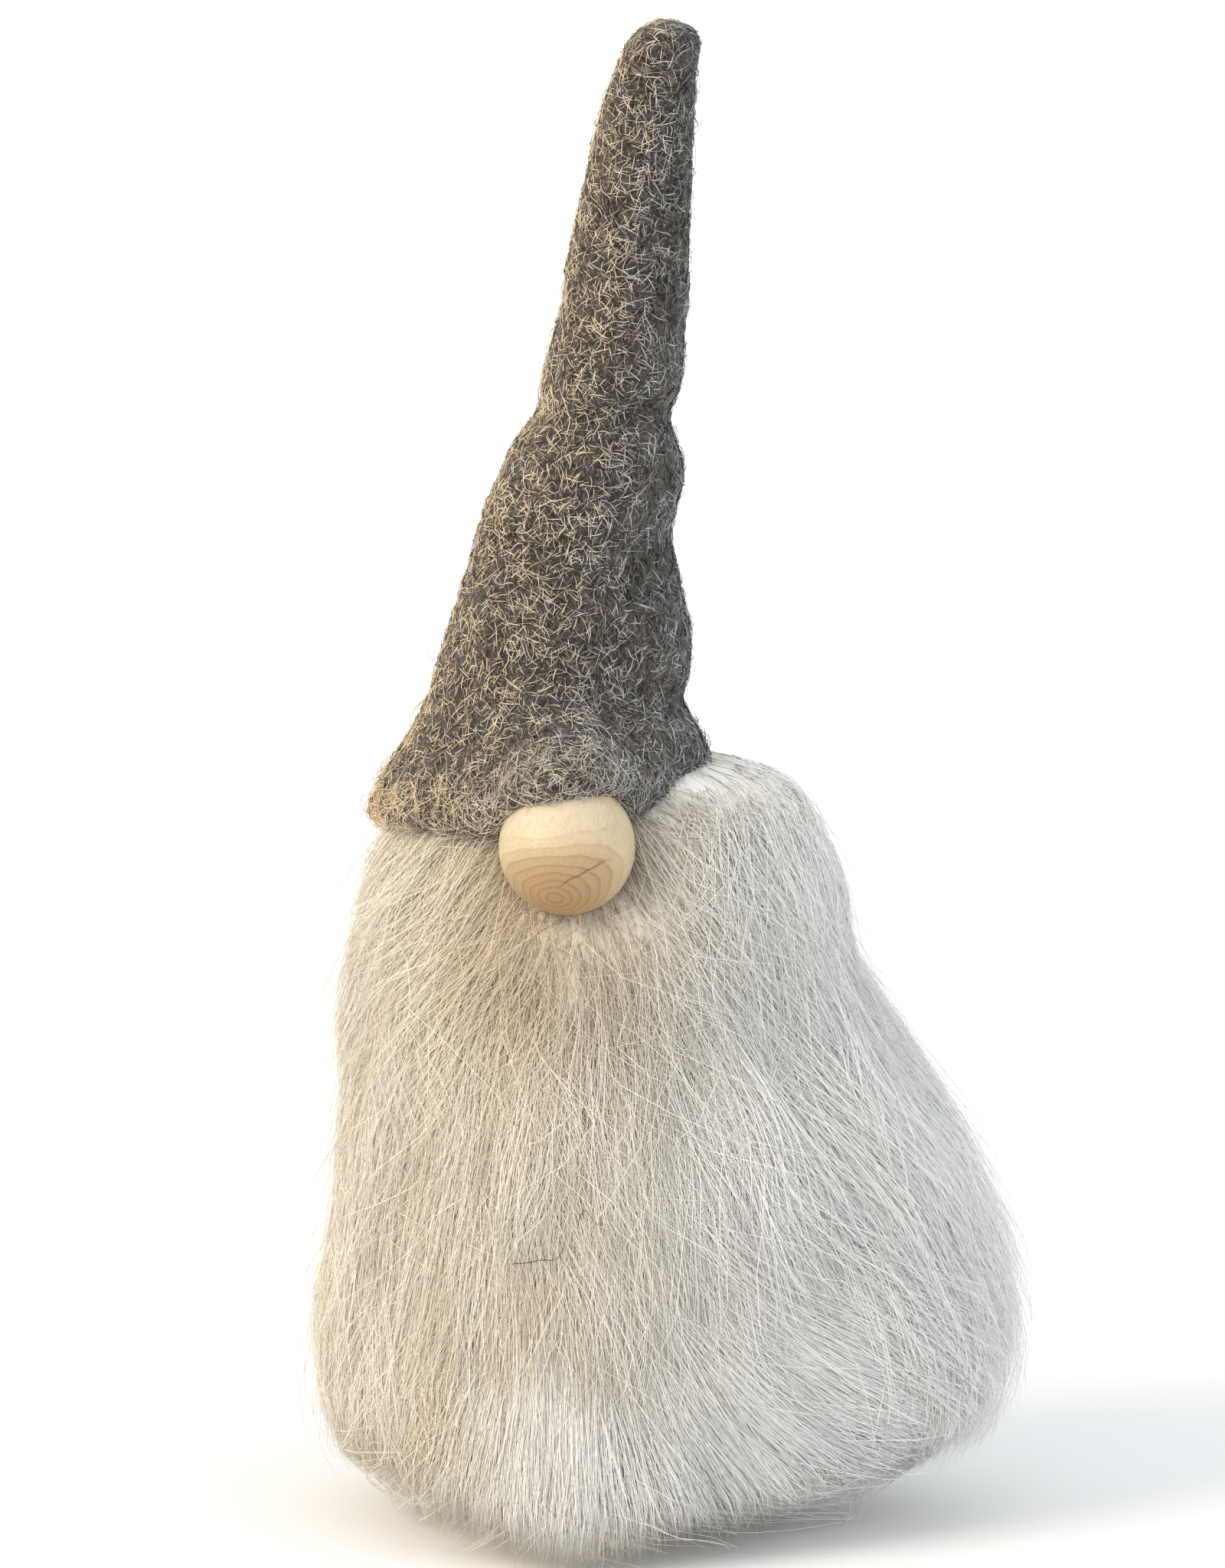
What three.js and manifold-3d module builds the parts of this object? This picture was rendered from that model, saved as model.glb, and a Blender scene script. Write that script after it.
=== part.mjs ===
// A tomte gnome figurine: a weighted cloth body wrapped in long faux fur, a beard panel over its
// front, a wooden ball nose, and a tall boiled-wool hat whose wired tip can be bent.
// Millimetres, +Z up, front towards -Y, origin at the centre of the base's underside.
import * as THREE from "three";
import { mergeVertices } from "three/addons/utils/BufferGeometryUtils.js";
import Module from "manifold-3d";

const wasm = await Module();
wasm.setup();

// ---- Driving dimensions ----
const GAP = 0.3; // clearance kept between touching pieces
const BASE_RADIUS = 27;
const BASE_FELT_THICKNESS = 2;
const BOARD_RADIUS = 25;
const BOARD_THICKNESS = 2;
const CLOTH_THICKNESS = 1.2; // cotton of the body sack
const FELT_THICKNESS = 3.4; // boiled wool of the hat
const BRIM_THICKNESS = 6; // the hat's edge, folded in on itself
const BEARD_DEPTH = 7; // pile and backing of the beard panel
const NOSE_RADIUS = 12.5;
const NOSE_CENTRE = new THREE.Vector3(-5.5, -35.5, 132.3);
const GLUE_RADIUS = 5;
const THREAD_RADIUS = 0.45;
const CORD_RADIUS = 0.8;
const WIRE_RADIUS = 1;

const HEAD_OFFSET = -8; // the head sits a little to the left of the base
const LEAN_START = 60;
const LEAN_END = 135;

const WRAP_BOTTOM = 3;
const WRAP_TOP = 129;
const CUT_REACH = 5; // how far a cutting solid passes the piece it cuts
const BEARD_TOP = 115;
const BEARD_PROUD = 1.2; // how far the beard stands out of the wrap
const SEAM_SWING = 1; // half the width of the wrap's zigzag seam
const CREASE_BOTTOM = 190; // the hat bends between these two heights
const CREASE_TOP = 225;

// Body sack: height and outer radius, from its base to the frill above its tie.
const SACK = [
  [5, 25], [9, 32], [16, 37.5], [28, 40], [50, 38], [80, 34.5],
  [105, 29.5], [120, 24], [130, 20.5], [139, 17.5], [145, 12], [148.5, 6],
  [150, 5.5], [156, 7.5],
];

// Weight bag: height and outer radius.
const WEIGHT_BAG = [
  [6.8, 22], [11, 30], [18, 34.5], [27, 36], [33, 24], [36, 6], [38, 5], [42, 7],
];

// Outer shape of the fur: height, and how far it reaches to the left, right, front and back.
const FUR = [
  [3, 33, 42, 38, 36],
  [12, 46, 62, 47, 46],
  [24, 53, 72, 50, 50],
  [43, 51, 76, 51, 52],
  [62, 48, 70, 50, 51],
  [82, 47, 61, 48, 49],
  [107, 45, 46, 44, 46],
  [122, 41, 45, 40, 43],
  [129, 39.5, 42, 35, 38],
];

// Hat: height, sideways place of its centre, and outer radius.
const HAT = [
  [131, -9, 31],
  [134, -9.5, 32.6],
  [139, -9, 31],
  [146, -8, 27.6],
  [154, -7.4, 24],
  [163, -5.6, 22.8],
  [176, -4.8, 20],
  [190, -3, 17.8],
  [199, -0.7, 16],
  [207, 1, 13.4],
  [216, 3.2, 12.6],
  [225, 4.8, 11.8],
  [244, 6.5, 10.4],
  [262, 9, 8.8],
  [272, 11, 7.2],
  [278, 12.8, 4.6],
  [280, 13.1, 0],
];
const HAT_HOLLOW_TOP = 275;
const BRIM_FOLD_TOP = 146; // the felt thins from its folded edge to this height
const BRIM_LIFT = 12; // how far the brim rises to clear the nose
const BRIM_PUSH = 9; // how far the nose pushes the brim forward
const BRIM_LIFT_ASIDE = 3; // the lift's middle, to the right of the hat's centre line
const BRIM_LIFT_WIDTH = 14;
const BRIM_LIFT_TOP = 165;
const HAT_SEAM_SWING = 1.4; // half the width of the back seam's zigzag
const HAT_SEAM_PROUD = 0.7; // clearance of its thread from the felt
const HAT_STUFFING = { bottom: 162, top: 268, tipRadius: 3, bendRadius: 12, gap: 2 };
const HAT_SEAM = { bottom: 140, top: 270, stitches: 14, gap: 3 };
const GLUE_RING = { inner: 18.6, outer: 23.8, bottom: 138, top: 141 };

// ---- Small tools ----

// Straight-line value of one column of a table whose first column is height.
function at(table, column, height) {
  const last = table.length - 1;
  if (height <= table[0][0]) return table[0][column];
  if (height >= table[last][0]) return table[last][column];
  const upper = table.findIndex((row) => row[0] > height);
  const [low, high] = [table[upper - 1], table[upper]];
  const share = (height - low[0]) / (high[0] - low[0]);
  return THREE.MathUtils.lerp(low[column], high[column], share);
}

// The heights of a table's rows that lie between two heights, with the two themselves.
function heightsBetween(table, from, to) {
  const inside = table.map((row) => row[0]).filter((z) => z > from && z < to);
  return [from, ...inside, to];
}

// Moves each point of a geometry by a function that changes the point it is given.
function reshape(geometry, change) {
  const place = geometry.getAttribute("position");
  const point = new THREE.Vector3();
  for (let i = 0; i < place.count; i++) {
    point.fromBufferAttribute(place, i);
    change(point);
    place.setXYZ(i, point.x, point.y, point.z);
  }
  return geometry;
}

// A solid turned about the Z axis from a profile of [radius, height] pairs.
function turned(profile, segments = 28) {
  const points = profile.map(([radius, height]) => new THREE.Vector2(radius, height));
  return new THREE.LatheGeometry(points, segments).rotateX(Math.PI / 2);
}

// A round tube along a list of points.
function tube(points, radius, steps, sides = 6, closed = false) {
  const section = new THREE.Shape();
  for (let i = 0; i < sides; i++) {
    const angle = (2 * Math.PI * i) / sides;
    const [x, y] = [radius * Math.cos(angle), radius * Math.sin(angle)];
    if (i === 0) section.moveTo(x, y);
    else section.lineTo(x, y);
  }
  section.closePath();
  const path = new THREE.CatmullRomCurve3(points, closed);
  return new THREE.ExtrudeGeometry(section, { steps, extrudePath: path, curveSegments: 1 });
}

// A three.js geometry as a solid that can be cut and joined, and back again.
function solidOf(geometry) {
  const bare = new THREE.BufferGeometry();
  bare.setAttribute("position", geometry.getAttribute("position"));
  if (geometry.index) bare.setIndex(geometry.index);
  const merged = mergeVertices(bare, 1e-4);
  return new wasm.Manifold(
    new wasm.Mesh({
      numProp: 3,
      vertProperties: merged.getAttribute("position").array,
      triVerts: new Uint32Array(merged.index.array),
    }),
  );
}

function geometryOf(solid) {
  const mesh = solid.getMesh();
  const geometry = new THREE.BufferGeometry();
  geometry.setAttribute("position", new THREE.BufferAttribute(mesh.vertProperties, 3));
  geometry.setIndex(new THREE.BufferAttribute(mesh.triVerts, 1));
  return geometry;
}

// ---- The shapes that several pieces share ----

// Sideways place of the body's centre line at a height.
function bodyCentre(height) {
  return HEAD_OFFSET * THREE.MathUtils.smoothstep(height, LEAN_START, LEAN_END);
}

function leanWithBody(geometry) {
  return reshape(geometry, (p) => {
    p.x += bodyCentre(p.z);
  });
}

// A cloth bottle: closed below, open at its gathered neck.
function bottle(table, thickness) {
  const outside = table.map(([z, r]) => [r, z]);
  const inside = table.map(([z, r]) => [r - thickness, Math.max(z, table[0][0] + thickness)]);
  return turned([[0, table[0][0]], ...outside, ...inside.reverse(), [0, table[0][0] + thickness]]);
}

// Everything inside the fur wrap, grown by a margin, as one solid to cut with.
function bodyCore(margin) {
  const [below, above] = [WRAP_BOTTOM - CUT_REACH, WRAP_TOP + CUT_REACH];
  const foot = [[0, below], [BASE_RADIUS + margin, below], [BASE_RADIUS + margin, SACK[0][0]]];
  const side = heightsBetween(SACK, SACK[1][0], above).map((z) => [at(SACK, 1, z) + margin, z]);
  return leanWithBody(turned([...foot, ...side, [0, above]]));
}

// A point on the fur's outer surface: four quarter ellipses at each height.
function furPoint(height, angle, margin) {
  const across = at(FUR, Math.cos(angle) > 0 ? 2 : 1, height) + margin;
  const along = at(FUR, Math.sin(angle) > 0 ? 4 : 3, height) + margin;
  return new THREE.Vector3(across * Math.cos(angle), along * Math.sin(angle), height);
}

// The fur's outer shape as a solid, grown or shrunk by a margin.
function furShape(margin, segments = 36) {
  const heights = heightsBetween(FUR, WRAP_BOTTOM, WRAP_TOP);
  const profile = [[0, WRAP_BOTTOM], ...heights.map((z) => [1, z]), [0, WRAP_TOP]];
  return reshape(turned(profile, segments), (p) => {
    const reach = Math.hypot(p.x, p.y);
    if (reach > 0.5) p.copy(furPoint(p.z, Math.atan2(p.y, p.x), margin));
  });
}

// The beard's outline seen from the front, as a prism that reaches well past the front of the fur.
function beardPrism(margin) {
  const top = BEARD_TOP + margin;
  const outline = new THREE.Shape();
  outline.moveTo(-30 - margin, top);
  outline.bezierCurveTo(-38 - margin, 80, -42 - margin, 40, -27 - margin, 16 - margin);
  outline.quadraticCurveTo(-12, 6 - margin, -4, 6 - margin);
  outline.quadraticCurveTo(10, 6 - margin, 23 + margin, 16 - margin);
  outline.bezierCurveTo(42 + margin, 40, 34 + margin, 80, 22 + margin, top);
  outline.closePath();
  const reach = 80;
  return new THREE.ExtrudeGeometry(outline, {
    depth: reach, bevelEnabled: false, curveSegments: 6,
  }).rotateX(Math.PI / 2);
}

function noseBall(margin) {
  return new THREE.SphereGeometry(NOSE_RADIUS + margin, 24, 16).translate(...NOSE_CENTRE);
}

function gluePad(margin) {
  const back = -at(SACK, 1, NOSE_CENTRE.z - GLUE_RADIUS) - 2 * GAP + margin;
  const front = NOSE_CENTRE.y + NOSE_RADIUS - 6 - margin;
  return new THREE.CylinderGeometry(GLUE_RADIUS + margin, GLUE_RADIUS + margin, back - front, 16)
    .translate(NOSE_CENTRE.x, (back + front) / 2, NOSE_CENTRE.z);
}

// The hat's surface bends along its centre line, and its brim rises over the nose and forward.
function followHat(point) {
  const aside = (point.x - BRIM_LIFT_ASIDE) / BRIM_LIFT_WIDTH;
  const front = THREE.MathUtils.smoothstep(-point.y, 5, 28);
  const fade = 1 - THREE.MathUtils.smoothstep(point.z, HAT[0][0], BRIM_LIFT_TOP);
  const share = Math.exp(-aside * aside) * front * fade;
  point.x += at(HAT, 1, point.z);
  point.y -= BRIM_PUSH * share;
  point.z += BRIM_LIFT * share;
}

function feltThickness(height) {
  const folded = 1 - THREE.MathUtils.smoothstep(height, BRIM_FOLD_TOP - 10, BRIM_FOLD_TOP);
  return THREE.MathUtils.lerp(FELT_THICKNESS, BRIM_THICKNESS, folded);
}

// A length of the hat's felt, open at both ends.
function feltTube(from, to) {
  const heights = heightsBetween(HAT, from, to);
  const outside = heights.map((z) => [at(HAT, 2, z), z]);
  const inside = heights.map((z) => [at(HAT, 2, z) - feltThickness(z), z]).reverse();
  return reshape(turned([...outside, ...inside, outside[0]]), followHat);
}

// A zigzag of thread up the back of the hat, lying on the felt.
function hatSeam(from, to, stitches) {
  const points = [];
  for (let i = 0; i <= stitches; i++) {
    const z = THREE.MathUtils.lerp(from, to, i / stitches);
    const reach = at(HAT, 2, z) + THREAD_RADIUS + HAT_SEAM_PROUD;
    const aside = i % 2 ? HAT_SEAM_SWING : -HAT_SEAM_SWING;
    points.push(new THREE.Vector3(at(HAT, 1, z) + aside, Math.sqrt(reach ** 2 - aside ** 2), z));
  }
  return tube(points, THREAD_RADIUS, stitches * 2, 6);
}

// The armature wire's line, up the middle of the hat.
function wirePoints() {
  const heights = [159, 170, 182, 195, 207, 219, 232, 246, 258, 270];
  return heights.map((z) => new THREE.Vector3(at(HAT, 1, z), 0, z));
}

// Fibre stuffing of a length of the hat, with a channel for the wire.
function hatStuffing(from, to, topRadius) {
  const heights = heightsBetween(HAT, from, to);
  const side = heights.map((z) => [at(HAT, 2, z) - FELT_THICKNESS - 2 * GAP, z]);
  side[side.length - 1][0] = topRadius;
  const body = reshape(turned([[0, from], ...side, [0, to]], 24), (p) => {
    p.x += at(HAT, 1, p.z);
  });
  const channel = tube(wirePoints(), WIRE_RADIUS + GAP, 30, 8);
  return geometryOf(solidOf(body).subtract(solidOf(channel)));
}

// ---- The pieces ----

const gnome = new THREE.Group();
gnome.name = "tomte_gnome";

function add(name, geometry, color, roughness = 0.95, metalness = 0) {
  const material = new THREE.MeshStandardMaterial({ color, roughness, metalness });
  const mesh = new THREE.Mesh(geometry, material);
  mesh.name = name;
  gnome.add(mesh);
}

function disc(radius, bottom, thickness) {
  const top = bottom + thickness;
  return turned([[0, bottom], [radius, bottom], [radius, top], [0, top]], 40);
}

// Base: a felt disc under a stiff board.
function addBase() {
  add("base_felt_disc", disc(BASE_RADIUS, 0, BASE_FELT_THICKNESS), 0xcfc6b4);
  add("base_board", disc(BOARD_RADIUS, BASE_FELT_THICKNESS + GAP, BOARD_THICKNESS), 0xa58d6c, 0.85);
}

// Weight: a tied cotton bag of sand at the bottom of the body.
function addWeight() {
  const thickness = 0.8;
  const slack = 2; // room between the sand and its bag
  const [bottom, shoulder] = [WEIGHT_BAG[0][0] + thickness + GAP, 33];
  const side = heightsBetween(WEIGHT_BAG, bottom, shoulder);
  const fill = side.map((z) => [at(WEIGHT_BAG, 1, z) - thickness - slack, z]);
  const tieHeight = 38;
  const tie = new THREE.TorusGeometry(at(WEIGHT_BAG, 1, tieHeight) + 1.3 + GAP, CORD_RADIUS, 6, 18);
  add("weight_bag", bottle(WEIGHT_BAG, thickness), 0xd9d2c2);
  add("weight_sand", turned([[0, bottom], ...fill, [0, shoulder]]), 0xb59f7a);
  add("weight_bag_tie", tie.translate(0, 0, tieHeight), 0xe6e0d2);
}

// Body: a cotton sack filled with fibre, its neck gathered by a cord.
function addBody() {
  const [from, to] = [44, 144];
  const side = heightsBetween(SACK, from, to);
  const fill = side.map((z) => [at(SACK, 1, z) - CLOTH_THICKNESS - 2 * GAP, z]);
  const tieHeight = 150;
  const tie = new THREE.TorusGeometry(at(SACK, 1, tieHeight) + 1.2 + GAP, CORD_RADIUS, 6, 18);
  add("body_sack", leanWithBody(bottle(SACK, CLOTH_THICKNESS)), 0xded8ca);
  add("body_stuffing", leanWithBody(turned([[0, from], ...fill, [0, to]])), 0xf2f0ea);
  add("body_sack_tie", tie.translate(bodyCentre(tieHeight), 0, tieHeight), 0xe6e0d2);
}

// Fur: one wrap round the body, closed by a seam at the back, and a beard panel on its front.
function addFur() {
  const backing = 1; // the beard's back stays this far from the body sack
  const beard = solidOf(furShape(BEARD_PROUD))
    .intersect(solidOf(beardPrism(0)))
    .subtract(solidOf(furShape(-BEARD_DEPTH)))
    .subtract(solidOf(bodyCore(backing)));
  const recess = solidOf(beardPrism(GAP)).subtract(solidOf(furShape(-BEARD_DEPTH - GAP)));
  const stitches = 24;
  const seamLine = [];
  for (let i = 0; i <= stitches; i++) {
    const z = THREE.MathUtils.lerp(WRAP_BOTTOM + 7, WRAP_TOP - 5, i / stitches);
    const aside = i % 2 ? SEAM_SWING : -SEAM_SWING;
    seamLine.push(new THREE.Vector3(bodyCentre(z) + aside, at(SACK, 1, z) + backing, z));
  }
  const wrap = solidOf(furShape(0))
    .subtract(solidOf(bodyCore(GAP + 0.2)))
    .subtract(recess)
    .subtract(solidOf(noseBall(GAP)))
    .subtract(solidOf(gluePad(GAP)))
    .subtract(solidOf(tube(seamLine, THREAD_RADIUS + GAP, 48)));
  add("body_fur_wrap", geometryOf(wrap), 0xd8d0c0);
  add("fur_wrap_seam", tube(seamLine, THREAD_RADIUS, 48), 0xefeae0);
  add("beard_fur", geometryOf(beard), 0xe6dfd2);
}

// The thread that tacks the beard's top edge to the wrap, just under the nose.
function addBeardStitching() {
  const [left, right, height, stitches] = [-114, -70, BEARD_TOP + 1.2, 16];
  const points = [];
  for (let i = 0; i <= stitches; i++) {
    const angle = THREE.MathUtils.degToRad(THREE.MathUtils.lerp(left, right, i / stitches));
    points.push(furPoint(height, angle, THREAD_RADIUS + GAP + (i % 2 ? 0.2 : 0.6)));
  }
  add("beard_stitching", tube(points, THREAD_RADIUS, 2 * stitches), 0xefeae0);
}

// Nose: a plain wooden ball glued to the body above the beard.
function addNose() {
  const pad = solidOf(gluePad(0)).subtract(solidOf(noseBall(GAP)));
  add("nose_ball", noseBall(0), 0xd2b083, 0.6);
  add("nose_glue_pad", geometryOf(pad), 0xe9dfc4, 0.4);
}

// Hat: lower cone with its folded brim, the crease where it bends, and the tip.
function addHat() {
  const lower = solidOf(feltTube(HAT[0][0], CREASE_BOTTOM - GAP)).subtract(solidOf(noseBall(GAP)));
  const heights = heightsBetween(HAT, CREASE_TOP + GAP, HAT[HAT.length - 1][0]);
  const outside = heights.map((z) => [at(HAT, 2, z), z]);
  const hollow = heights.filter((z) => z < HAT_HOLLOW_TOP);
  const inside = hollow.map((z) => [at(HAT, 2, z) - FELT_THICKNESS, z]).reverse();
  const tip = [[0, HAT_HOLLOW_TOP], ...inside, ...outside];
  add("hat_lower", geometryOf(lower), 0x8d7f6d);
  add("hat_crease", feltTube(CREASE_BOTTOM, CREASE_TOP), 0x857a6b);
  add("hat_upper", reshape(turned(tip), followHat), 0x8a8074);
}

function addHatInside() {
  const { bottom, top, tipRadius, bendRadius, gap } = HAT_STUFFING;
  add("hat_stuffing_lower", hatStuffing(bottom, CREASE_BOTTOM - gap, bendRadius), 0xf2f0ea);
  add("hat_stuffing_upper", hatStuffing(CREASE_TOP + gap, top, tipRadius), 0xf2f0ea);
  add("hat_wire", tube(wirePoints(), WIRE_RADIUS, 30, 8), 0x9a9ca0, 0.35, 0.9);
}

function addHatSeams() {
  const { bottom, top, stitches, gap } = HAT_SEAM;
  add("hat_seam_lower", hatSeam(bottom, CREASE_BOTTOM - gap, stitches), 0x4a433a);
  add("hat_seam_upper", hatSeam(CREASE_TOP + gap, top, stitches), 0x4a433a);
}

// The ring of glue that holds the hat on the body's shoulders.
function addHatGlue() {
  const { inner, outer, bottom, top } = GLUE_RING;
  const section = [[outer, bottom], [outer, top], [inner, top], [inner, bottom], [outer, bottom]];
  const ring = turned(section).translate(bodyCentre(bottom), 0, 0);
  add("hat_glue_ring", ring, 0xe9dfc4, 0.4);
}

addBase();
addWeight();
addBody();
addFur();
addBeardStitching();
addNose();
addHat();
addHatInside();
addHatSeams();
addHatGlue();

export default gnome;
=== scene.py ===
"""Looks of a tomte gnome figurine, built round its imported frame. Lengths are in metres, and tables
of many lengths are in millimetres, as they say.

The body's long fur is real strands, grown in a space between the body sack and the outer shape of
the fur wrap. The hat is one skin of boiled wool over its three frame nodes, with loose fibres on it.
"""

from dataclasses import dataclass
import math

import bpy
import numpy as np
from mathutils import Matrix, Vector, noise
from mathutils.bvhtree import BVHTree


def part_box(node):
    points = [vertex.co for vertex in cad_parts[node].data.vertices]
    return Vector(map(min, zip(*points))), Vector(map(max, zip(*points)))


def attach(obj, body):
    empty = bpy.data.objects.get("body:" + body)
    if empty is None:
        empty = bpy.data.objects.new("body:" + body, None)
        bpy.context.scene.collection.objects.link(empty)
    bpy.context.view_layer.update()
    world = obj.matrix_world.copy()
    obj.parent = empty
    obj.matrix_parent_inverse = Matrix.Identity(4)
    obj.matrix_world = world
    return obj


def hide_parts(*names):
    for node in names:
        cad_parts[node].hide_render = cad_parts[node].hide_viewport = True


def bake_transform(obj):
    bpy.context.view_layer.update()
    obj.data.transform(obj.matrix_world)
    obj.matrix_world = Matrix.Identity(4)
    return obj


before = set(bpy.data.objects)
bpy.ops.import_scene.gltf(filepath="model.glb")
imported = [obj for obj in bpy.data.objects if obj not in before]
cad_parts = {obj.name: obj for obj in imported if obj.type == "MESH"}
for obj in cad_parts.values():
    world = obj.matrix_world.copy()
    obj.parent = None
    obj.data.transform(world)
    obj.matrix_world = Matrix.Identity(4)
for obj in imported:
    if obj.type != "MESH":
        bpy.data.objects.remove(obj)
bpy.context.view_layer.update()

MM = 0.001
SEED = 20
BODY = "gnome"
PALETTE_MAP = "OFBake"  # the one UV map of each made piece
PALETTE_SPREAD = 0.012  # how far apart a strand's three sides lie in the palette

# Camera and studio
CAMERA_ELEVATION = math.radians(10)
CAMERA_LENS = 270
CAMERA_SENSOR = 36
VIEW_HEIGHT = 291 * MM  # height of the picture at the object
VIEW_CENTRE = Vector((2.8 * MM, 0, 137.7 * MM))
FLOOR_RADIUS = 8

# Fur
FUR_SIDES = 3  # sides round a strand
FUR_POINTS = 6  # places along a strand
FUR_GRID_STEP = 2 * MM
TANGLE_WAVES = ((3.0, 1.0), (8.0, 0.16))  # how many radians a strand winds through, and how far
FUR_TOP = 148 * MM
UNDERCOAT_BELOW = 2.3 * MM  # the pile lies this deep under the fur's outside
LOCK_TURN = math.radians(-95)  # where the longest lock hangs
LOCK_FLARE = 13 * MM  # how far it runs out over the floor, and from what height
LOCK_FLARE_TOP = 26 * MM
ROOT_STEPS = (0.7548776662, 0.5698402910)  # spread roots evenly in two directions
PAINTED_LIGHT_SPAN = (0.45, 0.8)  # painted light: the fur gets lighter towards the right between these shares of its width
# painted light: between these shares of its width the fur turns from the key lamp's warm tint on the left
# to the fill's cool tint on the right
PAINTED_TINT_SPAN = (0.12, 0.85)
SHADED_GAPS = ((-25, 22), (22, 20))  # painted shade in the gaps beside the long lock: aside and height in mm

# Hat
HAT_NODES = ("hat_lower", "hat_crease", "hat_upper")
HAT_GRID_STEP = 1.5 * MM
EDGE_TURNS = np.linspace(-math.pi, math.pi, 721)[:-1]  # where the brim's height is kept
INSIDE_RINGS, ROLL_RINGS, OUTSIDE_RINGS = 40, 10, 230
TIP_X = 13 * MM
FELT = 3.4 * MM
BRIM_ROLL = 2.1 * MM
NOSE_PUSH = 3.5 * MM  # how far the ball pushes the brim out, beyond the frame's own hat
FELT_FAN = 1.34  # angle of the flat fan that the hat is rolled from
FELT_PATTERN = 200 * MM  # length of felt that fills the pattern map once
# Dents in the felt: direction in degrees, height and depth in mm, spread in degrees, spread in mm
HAT_DENTS = (
    (0, 184, 1.2, 45, 4.5), (0, 153.6, 1.2, 40, 3.5), (-10, 206, 1.3, 60, 3.2),
    (5, 195, -0.7, 40, 4.0), (10, 168, -0.5, 45, 5.0), (-78, 208.5, 3.0, 46, 3.0),
    (-46, 182, 2.8, 30, 7.0), (-112, 198, -1.3, 40, 4.5), (180, 208, 1.5, 40, 3.6),
    (-58, 158, 2.2, 24, 4.5), (-102, 162, 1.3, 22, 4.5), (-36, 149, -1.1, 22, 4.0),
    (80, 200, 1.6, 50, 5.0), (120, 172, 1.4, 40, 6.0), (60, 158, 1.2, 35, 5.0),
    (-58, 240, 1.4, 26, 14.0), (-128, 178, -0.9, 30, 7.0), (-20, 222, 0.6, 40, 5.0),
    (-84, 190, -1.2, 26, 4.0), (-70, 171, -1.0, 24, 4.5), (-80, 214, -0.9, 40, 3.5),
    (-130, 150, 0.9, 24, 5.0),
)

FIBRE_POINTS = 5


@dataclass
class Fuzz:
    """One set of loose fibres on the hat: lengths, lifts off the felt and radii in mm."""
    name: str
    count: int
    length: tuple
    lift: tuple
    radius: tuple
    tones: tuple
    curl: float = 0.5
    brim_only: bool = False


FELT_TONES = (0.0, 0.25, 0.75, 0.95, 1.0, 1.0)
HAT_FUZZ = (
    *(Fuzz(f"hat_fibres_{number}", 6000, (1.4, 4.4), (0, 0.25), (0.045, 0.10), FELT_TONES, curl=1.5)
      for number in (1, 2, 3, 4)),
    Fuzz("hat_fuzz", 2200, (1.0, 3.0), (0.3, 1.3), (0.03, 0.045), (0.6, 0.9, 1.0)),
    Fuzz("brim_fuzz", 2600, (2.5, 7), (0.2, 1.6), (0.04, 0.08), (0.7, 0.95, 1.0), brim_only=True),
    Fuzz("hat_strays", 170, (6, 15), (0.2, 1.6), (0.04, 0.06), (0.9, 1.0), curl=1.2),
)

# Nose: all about the ball's own middle
WOOD_AXIS = (-0.17, -0.76, -0.62)
RING_WIDTH = 1.35 * MM
CRACK_NORMAL = (-0.485, 0.152, 0.862)
CRACK_PLACE = -5.5 * MM
CRACK_WIDTH = 0.28 * MM

# Coats of fur
STRAND_RADIUS = (0.043 * MM, 0.096 * MM)
BEARD_TURNS = (-125, -55)
SECTORS = tuple(np.radians((-181, -145, -118, -95, -75, -50, -20, 25, 75, 120, 181)))
WHOLE = (-3.2, 3.2)
HALVES = (-3.2, 0, 3.2)
FRONT_AND_BACK = (-3.2, -1.57, 3.2)
LEFT_AND_RIGHT = (-3.2, -1.3, 3.2)


@dataclass
class Coat:
    """One coat of strands: lengths in mm and turns in degrees, with -90 at the front. Its strands
    grow in locks, from roots between two heights."""
    name: str
    tone: float  # from 0, the darkest, to 1
    locks: int
    per_lock: int
    heights: tuple
    length: tuple
    below: tuple  # how deep under the fur's outside the locks lie, from the deepest to the proudest
    spread: float  # how far a lock's strands lie from its middle
    clump: float  # how much of that they lose by their tips
    wave: float
    tangle: float
    slot: str = "body_fur"
    turns: tuple = (-180, 180)
    edges: tuple = WHOLE  # turns in radians between its pieces
    contrast: float = 0.05
    cool: float = 0.0
    rise: float = 0.0  # how far a strand stands up from its root before it falls
    slant: float = 0.0
    fly: float = 0.0  # how far the tips stand off


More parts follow.
